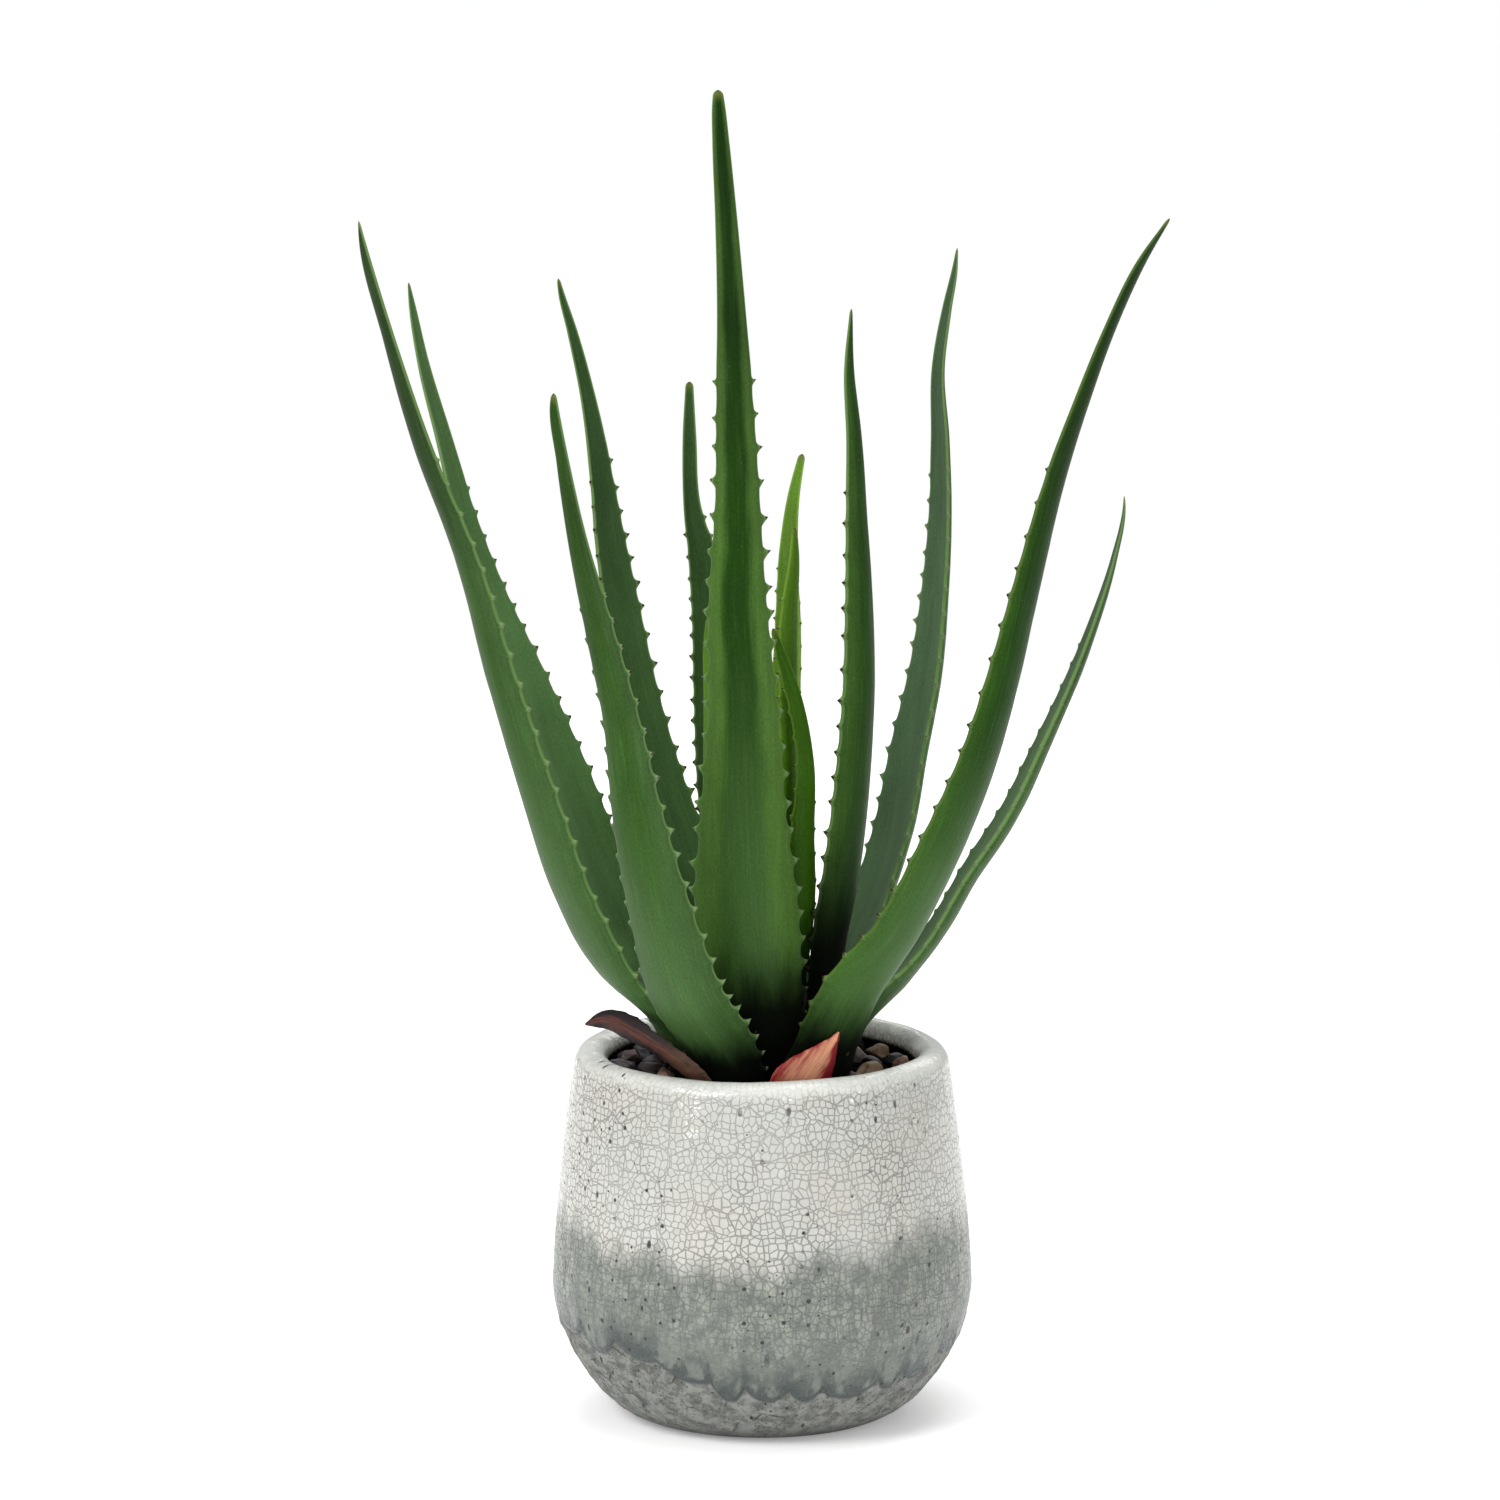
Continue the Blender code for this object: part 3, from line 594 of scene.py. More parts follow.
leafSkin = makeLeafSkin()
paleHorn, palePoint, youngMargin = (0.24, 0.36, 0.17), (0.12, 0.18, 0.075), (0.20, 0.34, 0.04)
leafLooks = {
    "leaf_left_outer": {"High Shade": 0.45, "Point": palePoint, "High Point": palePoint},
    "leaf_right_short": {"Point": palePoint, "High Point": palePoint},
    "leaf_left_back": {"High Shade": 0.75, "Inner": (0.076, 0.165, 0.050), "Dark Until": 25.0,
                       "Clear From": 60.0},
    "leaf_front_left": {"Horn": paleHorn, "Point": (0.16, 0.22, 0.10), "Dark Until": 17.0,
                        "Clear From": 37.0},
    "leaf_back_left": {"Dark Until": 30.0, "Clear From": 80.0},
    "leaf_tall_centre": {"Horn": paleHorn, "Point": (0.10, 0.13, 0.06), "Core Width": 0.40,
                         "High Shade": 0.60, "Flank Sheen": (0.056, 0.130, 0.020), "Dark Until": 32.0,
                         "Clear From": 62.0},
    "leaf_back_narrow": {"Dark Until": 60.0, "Clear From": 120.0},
    "leaf_small_inner": {"Dark Until": 70.0, "Clear From": 130.0, "High Shade": 0.7},
    "leaf_young_back": {"Core Width": 0.6, "Stripes": 1.0, "Dark Until": 60.0, "Clear From": 110.0},
    "leaf_young_right": {"Core Width": 0.6, "Stripes": 0.4, "Dark Until": 60.0, "Clear From": 110.0},
    "leaf_young_curved": {"Dark Until": 30.0, "Clear From": 75.0, "High Shade": 1.0},
    "leaf_right_inner": {"Dark Until": 50.0, "Clear From": 106.0, "High Shade": 0.8},
    "leaf_back_right": {"Dark Until": 25.0, "Clear From": 60.0, "High Shade": 0.65,
                        "Inner": (0.060, 0.116, 0.050), "Point": palePoint, "High Point": palePoint},
    "leaf_right_long": {"Core Width": 0.85, "Stripes": 0.12, "High Shade": 0.6, "Dark Until": 20.0,
                        "Clear From": 50.0, "Flank Sheen": (0.032, 0.088, 0.006), "Margin": (0.075, 0.140, 0.030)},
}
usualLook = {"Core Width": 0.5, "Stripes": 0.15, "High Shade": 0.7}


def leafMaterial(pieceName, name, tone):
    material, tree, shader = newMaterial(pieceName + "Skin")
    look = {**usualLook, **tones[tone], **leafLooks.get(name, {})}
    if tone in ("young", "bright"):
        look["Margin"] = youngMargin
    made = useGroup(tree, leafSkin, Place=attribute(tree, "leafPlace"), Zone=attribute(tree, "leafZone"),
                    Edge=attribute(tree, "leafEdge"), **look)
    dress(tree, shader, made["Colour"], made["Roughness"], 0.09, made["Height"], 0.00022, 0.7)
    return material


for number, name in enumerate(leaves):
    makeLeaf(name, number + 1)
print("leaves ready:", len(leaves))


# Dry sheaths

sheathShape = {"thickness": 1.5, "ring": 35.7, "sides": 24, "step": 0.35, "ripple": 0.5, "fraying": 0.45}
sheathTints = {"soiledFoot": (0.035, 0.016, 0.010), "paleFoot": (0.42, 0.24, 0.15)}
drySheaths = {
    "dry_sheath_left": {
        "seat": 238, "blade": 225, "channel": 0.8, "width": 12, "seed": 31,
        "points": [(-22, -38.5, 7.8, 8), (-31, -39.5, 15.8, 7.5), (-40, -36.5, 21.5, 8.5),
                   (-51, -28, 26, 10.5), (-59, -21, 27, 7.5), (-65.5, -17, 24.5, 0.8)],
        "middle": (0.105, 0.026, 0.014), "edge": (0.012, 0.002, 0.004), "cover": 0.18, "pale": 0.20,
        "otherSide": 1.0, "fibres": (0.25, 0.20, 0.20)},
    "dry_sheath_right": {
        "seat": 290, "blade": 300, "channel": 0.5, "width": 24, "seed": 32,
        "points": [(16, -40.5, 8, 24), (19.5, -39.8, 13, 17.5), (23.2, -38.5, 18, 11),
                   (26.3, -37.5, 22.5, 5), (28.4, -37, 26, 1)],
        "middle": (0.80, 0.40, 0.24), "edge": (0.30, 0.006, 0.014), "cover": 0.10, "pale": 0.0,
        "otherSide": 0.45, "fibres": (0.72, 0.58, 0.55)},
}


def makeDrySheath(name):
    sizes = drySheaths[name]
    ring, seat = sheathShape["ring"], math.radians(sizes["seat"])
    base = [(ring * math.cos(seat), ring * math.sin(seat), 0.3, sizes["width"])]
    along, centre, width = spineCurve(base + sizes["points"], sheathShape["step"])
    surface, rimWay, upward, cosine, sine = leafRings(
        along, centre, width, ring, sizes["seat"], sizes["blade"], sizes["channel"],
        sheathShape["thickness"], sheathShape["sides"])
    flat = surface.reshape(-1, 3)
    ripple = lumps(flat, 5.0, sizes["seed"], 3).reshape(surface.shape[:2])
    outwards = (surface - centre[:, None])
    outwards[..., 2] = 0
    outwards /= np.maximum(np.linalg.norm(outwards, axis=2), 0.2)[..., None]
    surface += outwards * (ripple * sheathShape["ripple"] * ease(along / 12)[:, None])[..., None]
    frayed = lumps(np.stack([along * 0 + 3, along, along * 0], 1), 3.0, sizes["seed"] + 1, 3)
    surface += rimWay * (np.abs(cosine) ** 6 * frayed[:, None] * sheathShape["fraying"])[..., None]
    surface[0, :, 2] = 0.3
    surface[:, :, 2] += soilLevel / mm
    edge = (width[:, None] / 2) * (1 - np.abs(cosine))
    marks = {
        "leafPlace": np.stack([width[:, None] / 2 * cosine, along[:, None] + 0 * cosine,
                               sizes["seed"] + 0 * edge], -1),
        "leafZone": np.stack([cosine + 0 * edge, (along / along[-1])[:, None] + 0 * edge,
                              np.where(sine < -0.01, 1.0, 0.0) + 0 * edge], -1),
    }
    mesh = ringMesh(name, surface * mm, marks)
    pieceName = "drySheathLeft" if name.endswith("left") else "drySheathRight"
    return addPiece(pieceName, mesh, dryMaterial(pieceName, sizes), "dry", name)


def dryMaterial(pieceName, sizes):
    material, tree, shader = newMaterial(pieceName + "Paper")
    spot, zone = attribute(tree, "leafPlace"), split(tree, attribute(tree, "leafZone"))
    fibres = cloud(tree, stretch(tree, spot, (2.2, 0.06, 1.0)), 1.0, 4.0, 0.7)
    patches = cloud(tree, stretch(tree, spot, (0.5, 0.12, 1.0)), 1.0, 3.0)
    fromMiddle = most(tree, zone[0], times(tree, zone[0], -sizes["otherSide"]))
    rimShare = fade(tree, sway(tree, fromMiddle, patches, 0.7), sizes["cover"], sizes["cover"] + 0.4)
    colour = blendColour(tree, rimShare, sizes["middle"], sizes["edge"])
    darker = blendColour(tree, 1.0, colour, sizes["fibres"], "MULTIPLY")
    colour = blendColour(tree, fade(tree, fibres, 0.38, 0.68), darker, colour)
    colour = blendColour(tree, fade(tree, zone[1], 0.0, 0.22, 1.0, 0.0), colour, sheathTints["soiledFoot"])
    paleShare = fade(tree, zone[1], 0.30, 0.50, sizes["pale"], 0.0)
    colour = blendColour(tree, paleShare, colour, sheathTints["paleFoot"])
    dress(tree, shader, colour, plus(tree, 0.40, fibres, 0.3), 0.3, fibres, 0.0005, 0.8)
    return material


for name in drySheaths:
    makeDrySheath(name)
print("dry sheaths ready")


# Stem

stemSizes = {"radius": 10.5, "topRadius": 4.5, "rise": 34.0, "depth": 14.0, "scarPitch": 4.2, "sides": 72}
stemTints = {"fibre": (0.12, 0.11, 0.045), "dark": (0.030, 0.022, 0.012)}


def makeStem():
    top = stemSizes["rise"]
    heights = np.linspace(-stemSizes["depth"], top, 90)
    share = np.clip(heights / top, 0, 1)
    radius = stemSizes["radius"] + (stemSizes["topRadius"] - stemSizes["radius"]) * share
    dome = np.sqrt(np.clip((top - heights) / 4.5, 0.0, 1.0))
    radius = radius * np.maximum(dome, 0.05)
    angle = np.linspace(0, 2 * np.pi, stemSizes["sides"], endpoint=False)
    scars = (heights[:, None] / stemSizes["scarPitch"] + angle[None, :] / (2 * np.pi)) % 1.0
    ridge = 0.45 * np.exp(-((scars - 0.5) / 0.12) ** 2) - 0.55
    across = radius[:, None] + ridge * (radius[:, None] > 3)
    surface = np.stack([across * np.cos(angle), across * np.sin(angle), heights[:, None] + 0 * across], -1)
    surface[..., 2] += soilLevel / mm
    mesh = ringMesh("stemCrown", surface * mm)
    material, tree, shader = newMaterial("stemFibre")
    spot = place(tree)
    made = useGroup(tree, mottle, Vector=spot, Colour=stemTints["fibre"], Amount=0.4)
    fibres = cloud(tree, stretch(tree, spot, (900.0, 900.0, 90.0)), 1.0, 3.0)
    colour = blendColour(tree, fade(tree, fibres, 0.4, 0.7), made["Colour"], stemTints["dark"])
    dress(tree, shader, colour, plus(tree, 0.6, fibres, 0.2), 0.5, fibres, 0.0004)
    return addPiece("stemCrown", mesh, material, "stem", "stem")


makeStem()
print("stem ready")


# Pot

potSizes = {
    "height": 139.0, "footRadius": 45.0, "bellyRadius": 78.7, "bellyHeight": 49.0, "neckRadius": 70.0,
    "lipRadius": 6.2, "wall": 8.5, "floor": 9.0, "footRoundness": 1.65, "shoulderBend": 1.5,
    "unevenness": 0.45, "roughness": 0.07, "bareRoughness": 0.50, "dripBead": 0.55, "lipWaver": 0.8,
    "sides": 480,
}
# Bearing from the front, positive to the right, in degrees: where the pale glaze ends and where
# the last drips end, in millimetres above the table.
glazeLines = {
    "bearing": [-180, -120, -90, -60, -43, -15, 0, 15, 38, 54, 79, 120, 180],
    "paleEnd": [70, 73, 78, 79, 75, 69, 70, 73, 77, 78, 79, 74, 70],
    "dripEnd": [30, 33, 36, 37.5, 37, 26, 23, 22.5, 24, 25.6, 33, 31, 30],
    "lobeWidths": (9.0, 21.0), "lobeDepths": (2.5, 8.0), "seed": 12,
}
# Crackle, in millimetres: plates, and the smaller ones each is split into.
crackleSizes = {"plate": 9.5, "piece": 2.75, "line": 0.47, "warp": 4.6, "plateUneven": 0.85,
                "pieceUneven": 0.68, "pieceShare": 0.92, "wobble": 0.085}
# The first four are stretched noises and the others even ones, per metre.
glazeGrains = {
    "runs": (130.0, 130.0, 45.0), "fineRuns": (620.0, 620.0, 110.0), "wideRuns": (62.0, 62.0, 18.0),
    "thrown": (150.0, 150.0, 215.0), "patches": 34.0, "mottled": 170.0, "fine": 900.0, "faint": 22.0,
    "veined": 75.0, "crowd": 26.0, "ripples": 130.0, "grit": 420.0,
}
glazeSpots = {
    "smudge": {"Scale": 0.085, "Share": 0.45, "Radius": 0.20},
    "hole": {"Scale": 0.15, "Share": 0.55, "Radius": 0.115},
    "slot": {"Scale": 0.11, "Share": 0.30, "Radius": 0.105},
    "pinhole": {"Scale": 0.40, "Share": 0.12, "Radius": 0.13},
    "grit": {"Scale": 0.60, "Share": 0.26, "Radius": 0.22},
}
glazeLooks = {
    "pale": (0.480, 0.468, 0.424), "paleCool": (0.466, 0.473, 0.446), "paleCrack": (0.195, 0.193, 0.173),
    "sage": (0.242, 0.258, 0.221), "sageDark": (0.132, 0.146, 0.127), "sageCrack": (0.075, 0.092, 0.080),
    "pool": (0.024, 0.036, 0.037), "foot": (0.250, 0.258, 0.234), "footDark": (0.100, 0.105, 0.095),
    "baseShade": (0.050, 0.050, 0.048), "lip": (0.63, 0.64, 0.60), "inside": (0.012, 0.011, 0.009),
    "pit": (0.012, 0.011, 0.011),
}


def outsideRadius(z):
    s = potSizes
    drop = np.clip((s["bellyHeight"] - z) / s["bellyHeight"], 0, 1)
    low = s["footRadius"] + (s["bellyRadius"] - s["footRadius"]) * (1 - drop ** s["footRoundness"]) ** (
        1 / s["footRoundness"])
    rise = np.clip((z - s["bellyHeight"]) / (s["height"] - s["lipRadius"] - s["bellyHeight"]), 0, 1)
    high = s["bellyRadius"] - (s["bellyRadius"] - s["neckRadius"]) * rise ** s["shoulderBend"]
    return np.where(z <= s["bellyHeight"], low, high)


def insideRadius(z):
    s = potSizes
    lipFoot = s["height"] - 2 * s["lipRadius"]
    radius = outsideRadius(np.maximum(z, s["floor"])) - s["wall"]
    opening = s["neckRadius"] - 2 * s["lipRadius"]
    return radius + (opening - radius) * ease((z - lipFoot) / s["lipRadius"])


def potProfile():
    # From the middle of the floor inside, up and over the lip, down to the middle of the underside.
    s = potSizes
    lipHeight = s["height"] - s["lipRadius"]
    floorRows = [(r, s["floor"]) for r in (6.0, 25.0, 40.0)]
    buried = [(float(insideRadius(z)), z) for z in np.linspace(s["floor"] + 0.1, 118.0, 10)]
    wall = [(float(insideRadius(z)), z) for z in np.linspace(119.5, lipHeight, 9)]
    turns = np.linspace(np.pi, 0, 19)[1:-1]
    lipMiddle = s["neckRadius"] - s["lipRadius"]
    lip = [(lipMiddle + s["lipRadius"] * math.cos(t), lipHeight + s["lipRadius"] * math.sin(t))
           for t in turns]
    upper = [(float(outsideRadius(z)), z) for z in np.linspace(lipHeight, 49.0, 74)]
    lower = []
    for t in np.linspace(0, np.pi / 2, 62)[1:]:
        z = s["bellyHeight"] * (1 - math.sin(t))
        lower.append((float(outsideRadius(z)), z))
    under = [(r, 0.0) for r in (44.2, 38.0, 20.0, 5.0)]
    rows = np.array(floorRows + buried + wall + lip + upper + lower + under)
    outerFrom = len(floorRows) + len(buried) + len(wall)
    return rows, outerFrom, len(under)


def dripLine(bearing):
    # Rounded lobes side by side, with a cusp between each two.
    dice = random.Random(glazeLines["seed"])
    spans = []
    while sum(spans) < 2 * math.pi * 60:
        spans.append(dice.uniform(*glazeLines["lobeWidths"]))
    spans = np.array(spans) * 2 * math.pi / sum(spans)
    starts = np.cumsum(spans) - spans - math.pi
    depths = np.array([dice.uniform(*glazeLines["lobeDepths"]) for _ in spans])
    i = np.clip(np.searchsorted(starts, bearing, side="right") - 1, 0, len(spans) - 1)
    u = np.abs((bearing - starts[i]) / spans[i] * 2 - 1)
    level = np.interp(np.degrees(bearing), glazeLines["bearing"], glazeLines["dripEnd"])
    toCusp = (1 - u) * spans[i] / 2 * 60
    return level + 2.0 - depths[i] * (1 - u ** 2.4), toCusp


def makePot():
    rows, outerFrom, underRows = potProfile()
    sides = potSizes["sides"]
    angle = np.linspace(-math.pi, math.pi, sides, endpoint=False)      # from the front, to the right
    radius = np.repeat(rows[:, :1], sides, 1)
    height = np.repeat(rows[:, 1:], sides, 1)
    bearing = np.repeat(angle[None, :], len(rows), 0)
    outer = np.zeros((len(rows), 1))
    outer[outerFrom:-underRows] = 1.0
    pale = np.interp(np.degrees(angle), glazeLines["bearing"], glazeLines["paleEnd"])
    drip, toCusp = dripLine(angle)
    fromPale = height - pale
    fromDrip = height - drip
    # Hand-thrown unevenness, the thick rolled end of each drip and the rough bare foot.
    flat = np.stack([radius * np.sin(bearing), -radius * np.cos(bearing), height], -1).reshape(-1, 3)
    slow = lumps(flat, 55.0, 3, 2).reshape(radius.shape)
    rough = lumps(flat, 6.0, 5, 4).reshape(radius.shape)
    bead = potSizes["dripBead"] * np.exp(-((fromDrip - 1.6) / 1.5) ** 2) + 0.30 * ease(fromDrip / 3.0)
    bare = ease((1.5 - fromDrip) / 3.0) * ease(height / 4.0)
    swell = (potSizes["unevenness"] * slow + bead - 0.30 + potSizes["bareRoughness"] * rough * bare
             + potSizes["roughness"] * rough)
    radius = radius + outer * swell * ease(height / 3.0)
    top = ease((height - 118.0) / 14.0)
    waver = 0.45 * np.sin(2 * bearing + 0.8) + 0.30 * np.sin(3 * bearing - 0.5) + 0.22 * np.sin(7 * bearing)
    height = height + top * waver * potSizes["lipWaver"] + 0.10 * top * rough
    radius = radius + top * (0.35 * np.sin(3 * bearing + 1.0) + 0.25 * np.sin(5 * bearing))
    surface = np.stack([radius * np.sin(bearing), -radius * np.cos(bearing), height], -1)
    marks = {"glaze": np.stack([fromPale, fromDrip, outer + 0 * radius], -1),
             "drips": np.stack([toCusp + 0 * radius, height, 0 * radius], -1)}
    mesh = ringMesh("potGlazed", surface * mm, marks)
    unroll(mesh)
    return addPiece("potGlazed", mesh, potMaterial(), "glaze", "pot")


def unroll(mesh):
    # The wall laid flat, in millimetres, for the crackle: it closes on itself at the back.
    corners = np.empty(len(mesh.loops), int)
    mesh.loops.foreach_get("vertex_index", corners)
    points = np.empty(len(mesh.vertices) * 3)
    mesh.vertices.foreach_get("co", points)
    x, y, z = points.reshape(-1, 3)[corners].T / mm
    turn = np.arctan2(x, -y)
    starts = np.array([face.loop_start for face in mesh.polygons])
    counts = np.array([face.loop_total for face in mesh.polygons])
    widest = np.repeat(np.maximum.reduceat(turn, starts) - np.minimum.reduceat(turn, starts), counts)
    turn = np.where((widest > math.pi) & (turn < 0), turn + 2 * math.pi, turn)
    layer = mesh.attributes.new("unrolled", "FLOAT_VECTOR", "CORNER")
    layer.data.foreach_set("vector", np.stack([turn * 75.0, z, 0 * z], 1).astype(np.float32).ravel())


def makeCrackle():
    # Plates bounded by fine cracks, each split by its own smaller cracks that stop at its border.
    group, given, result = newGroup(
        "crackle",
        [("Vector", "v", 0), ("Plate", "f", 9.0), ("Piece", "f", 3.4), ("Line", "f", 0.3),
         ("Warp", "f", 2.5)],
        [("Mask", "f"), ("Tone", "f")])
    sizes = crackleSizes
    noiseInputs = {"Vector": given["Vector"], "Scale": sizes["wobble"], "Detail": 2.0}
    wobble = addNode(group, "ShaderNodeTexNoise", noiseInputs)
    centred = shift(group, wobble.outputs["Color"], (-0.5, -0.5, -0.5))
    warp = addNode(group, "ShaderNodeCombineXYZ", {0: given["Warp"], 1: given["Warp"]}).outputs[0]
    bent = shift(group, stretch(group, centred, warp), given["Vector"])
    plateScale, pieceScale = (calc(group, "DIVIDE", 1.0, given[size]) for size in ("Plate", "Piece"))
    # Each plate looks up its pieces in a place of its own.
    tone = cells(group, bent, plateScale, "Color", sizes["plateUneven"])
    moved = shift(group, bent, stretch(group, tone, (70.0, 70.0, 0.0)))
    masks = []
    for vector, scale, share, uneven in ((bent, plateScale, 1.0, sizes["plateUneven"]),
                                         (moved, pieceScale, sizes["pieceShare"], sizes["pieceUneven"])):
        gap = cells(group, vector, scale, "Distance", uneven, feature="DISTANCE_TO_EDGE")
        thick = times(group, given["Line"], 0.5, scale)
        line = fade(group, gap, times(group, thick, 0.5), times(group, thick, 1.6), 1.0, 0.0)
        masks.append(times(group, line, share))
    feed(group, most(group, *masks), result["Mask"])
    feed(group, cells(group, moved, pieceScale, "Color", sizes["pieceUneven"]), result["Tone"])
    return group


crackle = makeCrackle()


def glazeSpot(tree, vector, kind):
    return useGroup(tree, flatSpots, Vector=vector, **glazeSpots[kind])["Mask"]


def potMaterial():
    material, tree, shader = newMaterial("crackleGlaze")
    looks, grains = glazeLooks, glazeGrains
    spot, flat = place(tree), attribute(tree, "unrolled")
    glaze, drips = split(tree, attribute(tree, "glaze")), split(tree, attribute(tree, "drips"))
    height = split(tree, spot)[2]
    runs = cloud(tree, stretch(tree, spot, grains["runs"]), 1.0, 4.0, 0.6)
    fineRuns = cloud(tree, stretch(tree, spot, grains["fineRuns"]), 1.0, 4.0, 0.7)
    wideRuns = cloud(tree, stretch(tree, spot, grains["wideRuns"]), 1.0, 3.0)
    patches = cloud(tree, spot, grains["patches"], 3.0)
    mottled = cloud(tree, spot, grains["mottled"], 5.0, 0.7)
    fine = cloud(tree, spot, grains["fine"], 4.0, 0.7)
    cracked = useGroup(tree, crackle, Vector=flat, Plate=crackleSizes["plate"], Piece=crackleSizes["piece"],
                       Line=crackleSizes["line"], Warp=crackleSizes["warp"])
    cracks = cracked["Mask"]
    # Pale glaze above, running down into sage.
    shifted = sway(tree, sway(tree, glaze[0], runs, 17.0), fineRuns, 3.5)
    sageShare = fade(tree, sway(tree, shifted, wideRuns, 26.0), -8.0, 8.0, 1.0, 0.0)
    pale = blendColour(tree, fade(tree, patches, 0.35, 0.65), looks["pale"], looks["paleCool"])
    sageTone = plus(tree, times(tree, mottled, 0.58), fineRuns, 0.42)
    sage = blendColour(tree, fade(tree, sageTone, 0.44, 0.59), looks["sageDark"], looks["sage"])
    lowDown = fade(tree, glaze[1], 6.0, 30.0, 0.8, 0.0)
    deep = times(tree, lowDown, fade(tree, runs, 0.35, 0.6, 1.0, 0.4))
    sage = blendColour(tree, deep, sage, looks["sageDark"])
    colour = blendColour(tree, sageShare, pale, sage)
    crackShade = blendColour(tree, sageShare, looks["paleCrack"], looks["sageCrack"])
    faint = fade(tree, cloud(tree, spot, grains["faint"], 2.0), 0.36, 0.60, 0.7, 1.0)
    faint = times(tree, faint, fade(tree, glaze[1], 4.0, 26.0, 0.15, 1.0))
    crackShare = times(tree, cracks, plus(tree, 0.95, sageShare, -0.25), faint)
    colour = blendColour(tree, crackShare, colour, crackShade)
    # Pooled glaze along the drips' ends and between them, and the bare rough foot below.
    wander = sway(tree, glaze[1], mottled, 4.0)
    ends = fade(tree, calc(tree, "ABSOLUTE", calc(tree, "SUBTRACT", wander, 0.9)), 0.5, 2.2, 1.0, 0.0)
    between = calc(tree, "ABSOLUTE", sway(tree, drips[0], mottled, 4.0))
    climbing = times(tree, fade(tree, between, 0.3, 1.6, 1.0, 0.0),
                     fade(tree, glaze[1], 1.0, 17.0, 0.85, 0.0))
    broad = times(tree, fade(tree, wander, 1.0, 19.0, 1.0, 0.0), fade(tree, runs, 0.40, 0.54))
    smudges = times(tree, glazeSpot(tree, stretch(tree, flat, (1.0, 0.36, 1.0)), "smudge"),
                    fade(tree, fineRuns, 0.38, 0.52), fade(tree, glaze[1], 16.0, 38.0, 0.9, 0.0))
    pooled = most(tree, ends, climbing, broad, smudges)
    bareShare = fade(tree, wander, -0.6, 0.8, 1.0, 0.0)
    colour = blendColour(tree, times(tree, pooled, 0.88), colour, looks["pool"])
    thrown = cloud(tree, stretch(tree, spot, grains["thrown"]), 1.0, 6.0, 0.8)
    footTone = plus(tree, times(tree, mottled, 0.5), thrown, 0.5)
    foot = blendColour(tree, fade(tree, footTone, 0.42, 0.57), looks["footDark"], looks["foot"])
    veins = cells(tree, stretch(tree, flat, (1.0, 1.5, 1.0)), 0.085, feature="DISTANCE_TO_EDGE")
    veinMask = fade(tree, cloud(tree, spot, grains["veined"], 2.0), 0.52, 0.64)
    veinShare = times(tree, fade(tree, veins, 0.01, 0.06, 1.0, 0.0), veinMask)
    foot = blendColour(tree, times(tree, veinShare, 0.7), foot, looks["pool"])
    # Painted shade: the lowest 9 mm of the foot darken towards the table.
    foot = blendColour(tree, fade(tree, height, 0.0, 0.009, 0.80, 0.0), foot, looks["baseShade"])
    footShare = calc(tree, "SUBTRACT", bareShare, times(tree, ends, 0.75, bareShare))
    colour = blendColour(tree, footShare, colour, foot)
    # The thin lip is painted a lighter grey, its own thin glaze lifted by a painted highlight on the rounded
    # rim, and the wall inside below the lip is painted near black as shade.
    lip = fade(tree, plus(tree, height, mottled, 0.004), 0.1345, 0.1395, 0.0, 0.75)
    colour = blendColour(tree, lip, colour, looks["lip"])
    # Painted shade: the inner wall below the lip goes near black.
    inside = calc(tree, "SUBTRACT", 1.0, glaze[2])
    insideShade = times(tree, inside, fade(tree, height, 0.1315, 0.1360, 1.0, 0.0))
    colour = blendColour(tree, insideShade, colour, looks["inside"])
    # Pinholes, pits and blisters.
    crowd = fade(tree, cloud(tree, spot, grains["crowd"], 2.0), 0.44, 0.54, 0.10, 1.0)
    slots = glazeSpot(tree, stretch(tree, flat, (1.0, 0.55, 1.0)), "slot")
    pinholes = times(tree, glazeSpot(tree, flat, "pinhole"), 0.7)
    pits = times(tree, most(tree, glazeSpot(tree, flat, "hole"), slots, pinholes), crowd)
    pits = most(tree, pits, times(tree, glazeSpot(tree, flat, "grit"), bareShare, 0.75))
    colour = blendColour(tree, times(tree, pits, 0.95), colour, looks["pit"])
    level = sway(tree, sway(tree, 1.0, cracked["Tone"], 0.05), fine, 0.35)
    roughness = 0.07
    for share, rise in ((sageShare, 0.16), (bareShare, 0.38), (cracks, 0.15), (fine, 0.10)):
        roughness = plus(tree, roughness, share, rise)
    # Relief: rippled glaze, sunk cracks and pits, a gritty foot.
    rippled = most(tree, fade(tree, height, 0.108, 0.124, 0.22, 0.60), sageShare)
    relieved = times(tree, cloud(tree, spot, grains["ripples"], 2.0), rippled)
    relieved = plus(tree, plus(tree, relieved, cracks, -0.10), pits, -0.8)
    gritty = plus(tree, times(tree, veinShare, -0.8), cloud(tree, spot, grains["grit"], 5.0, 0.7), 1.2)
    grittiness = plus(tree, times(tree, sageShare, 0.12), bareShare, 1.5)
    relieved = plus(tree, relieved, gritty, grittiness)
    dress(tree, shader, shaded(tree, colour, level), roughness, 0.5, relieved, 0.0009, 0.8)
    return material


makePot()
print("pot ready")


# Soil

soilSizes = {"bottom": 9.5, "socket": 10.8, "socketFloor": 14.3, "gap": 0.6, "looseness": 1.3,
             "sides": 168, "crumbs": 900, "crumbSizes": (0.6, 1.9), "seed": 5}
soilTints = {"earth": (0.016, 0.010, 0.007), "bit": (0.085, 0.050, 0.030)}


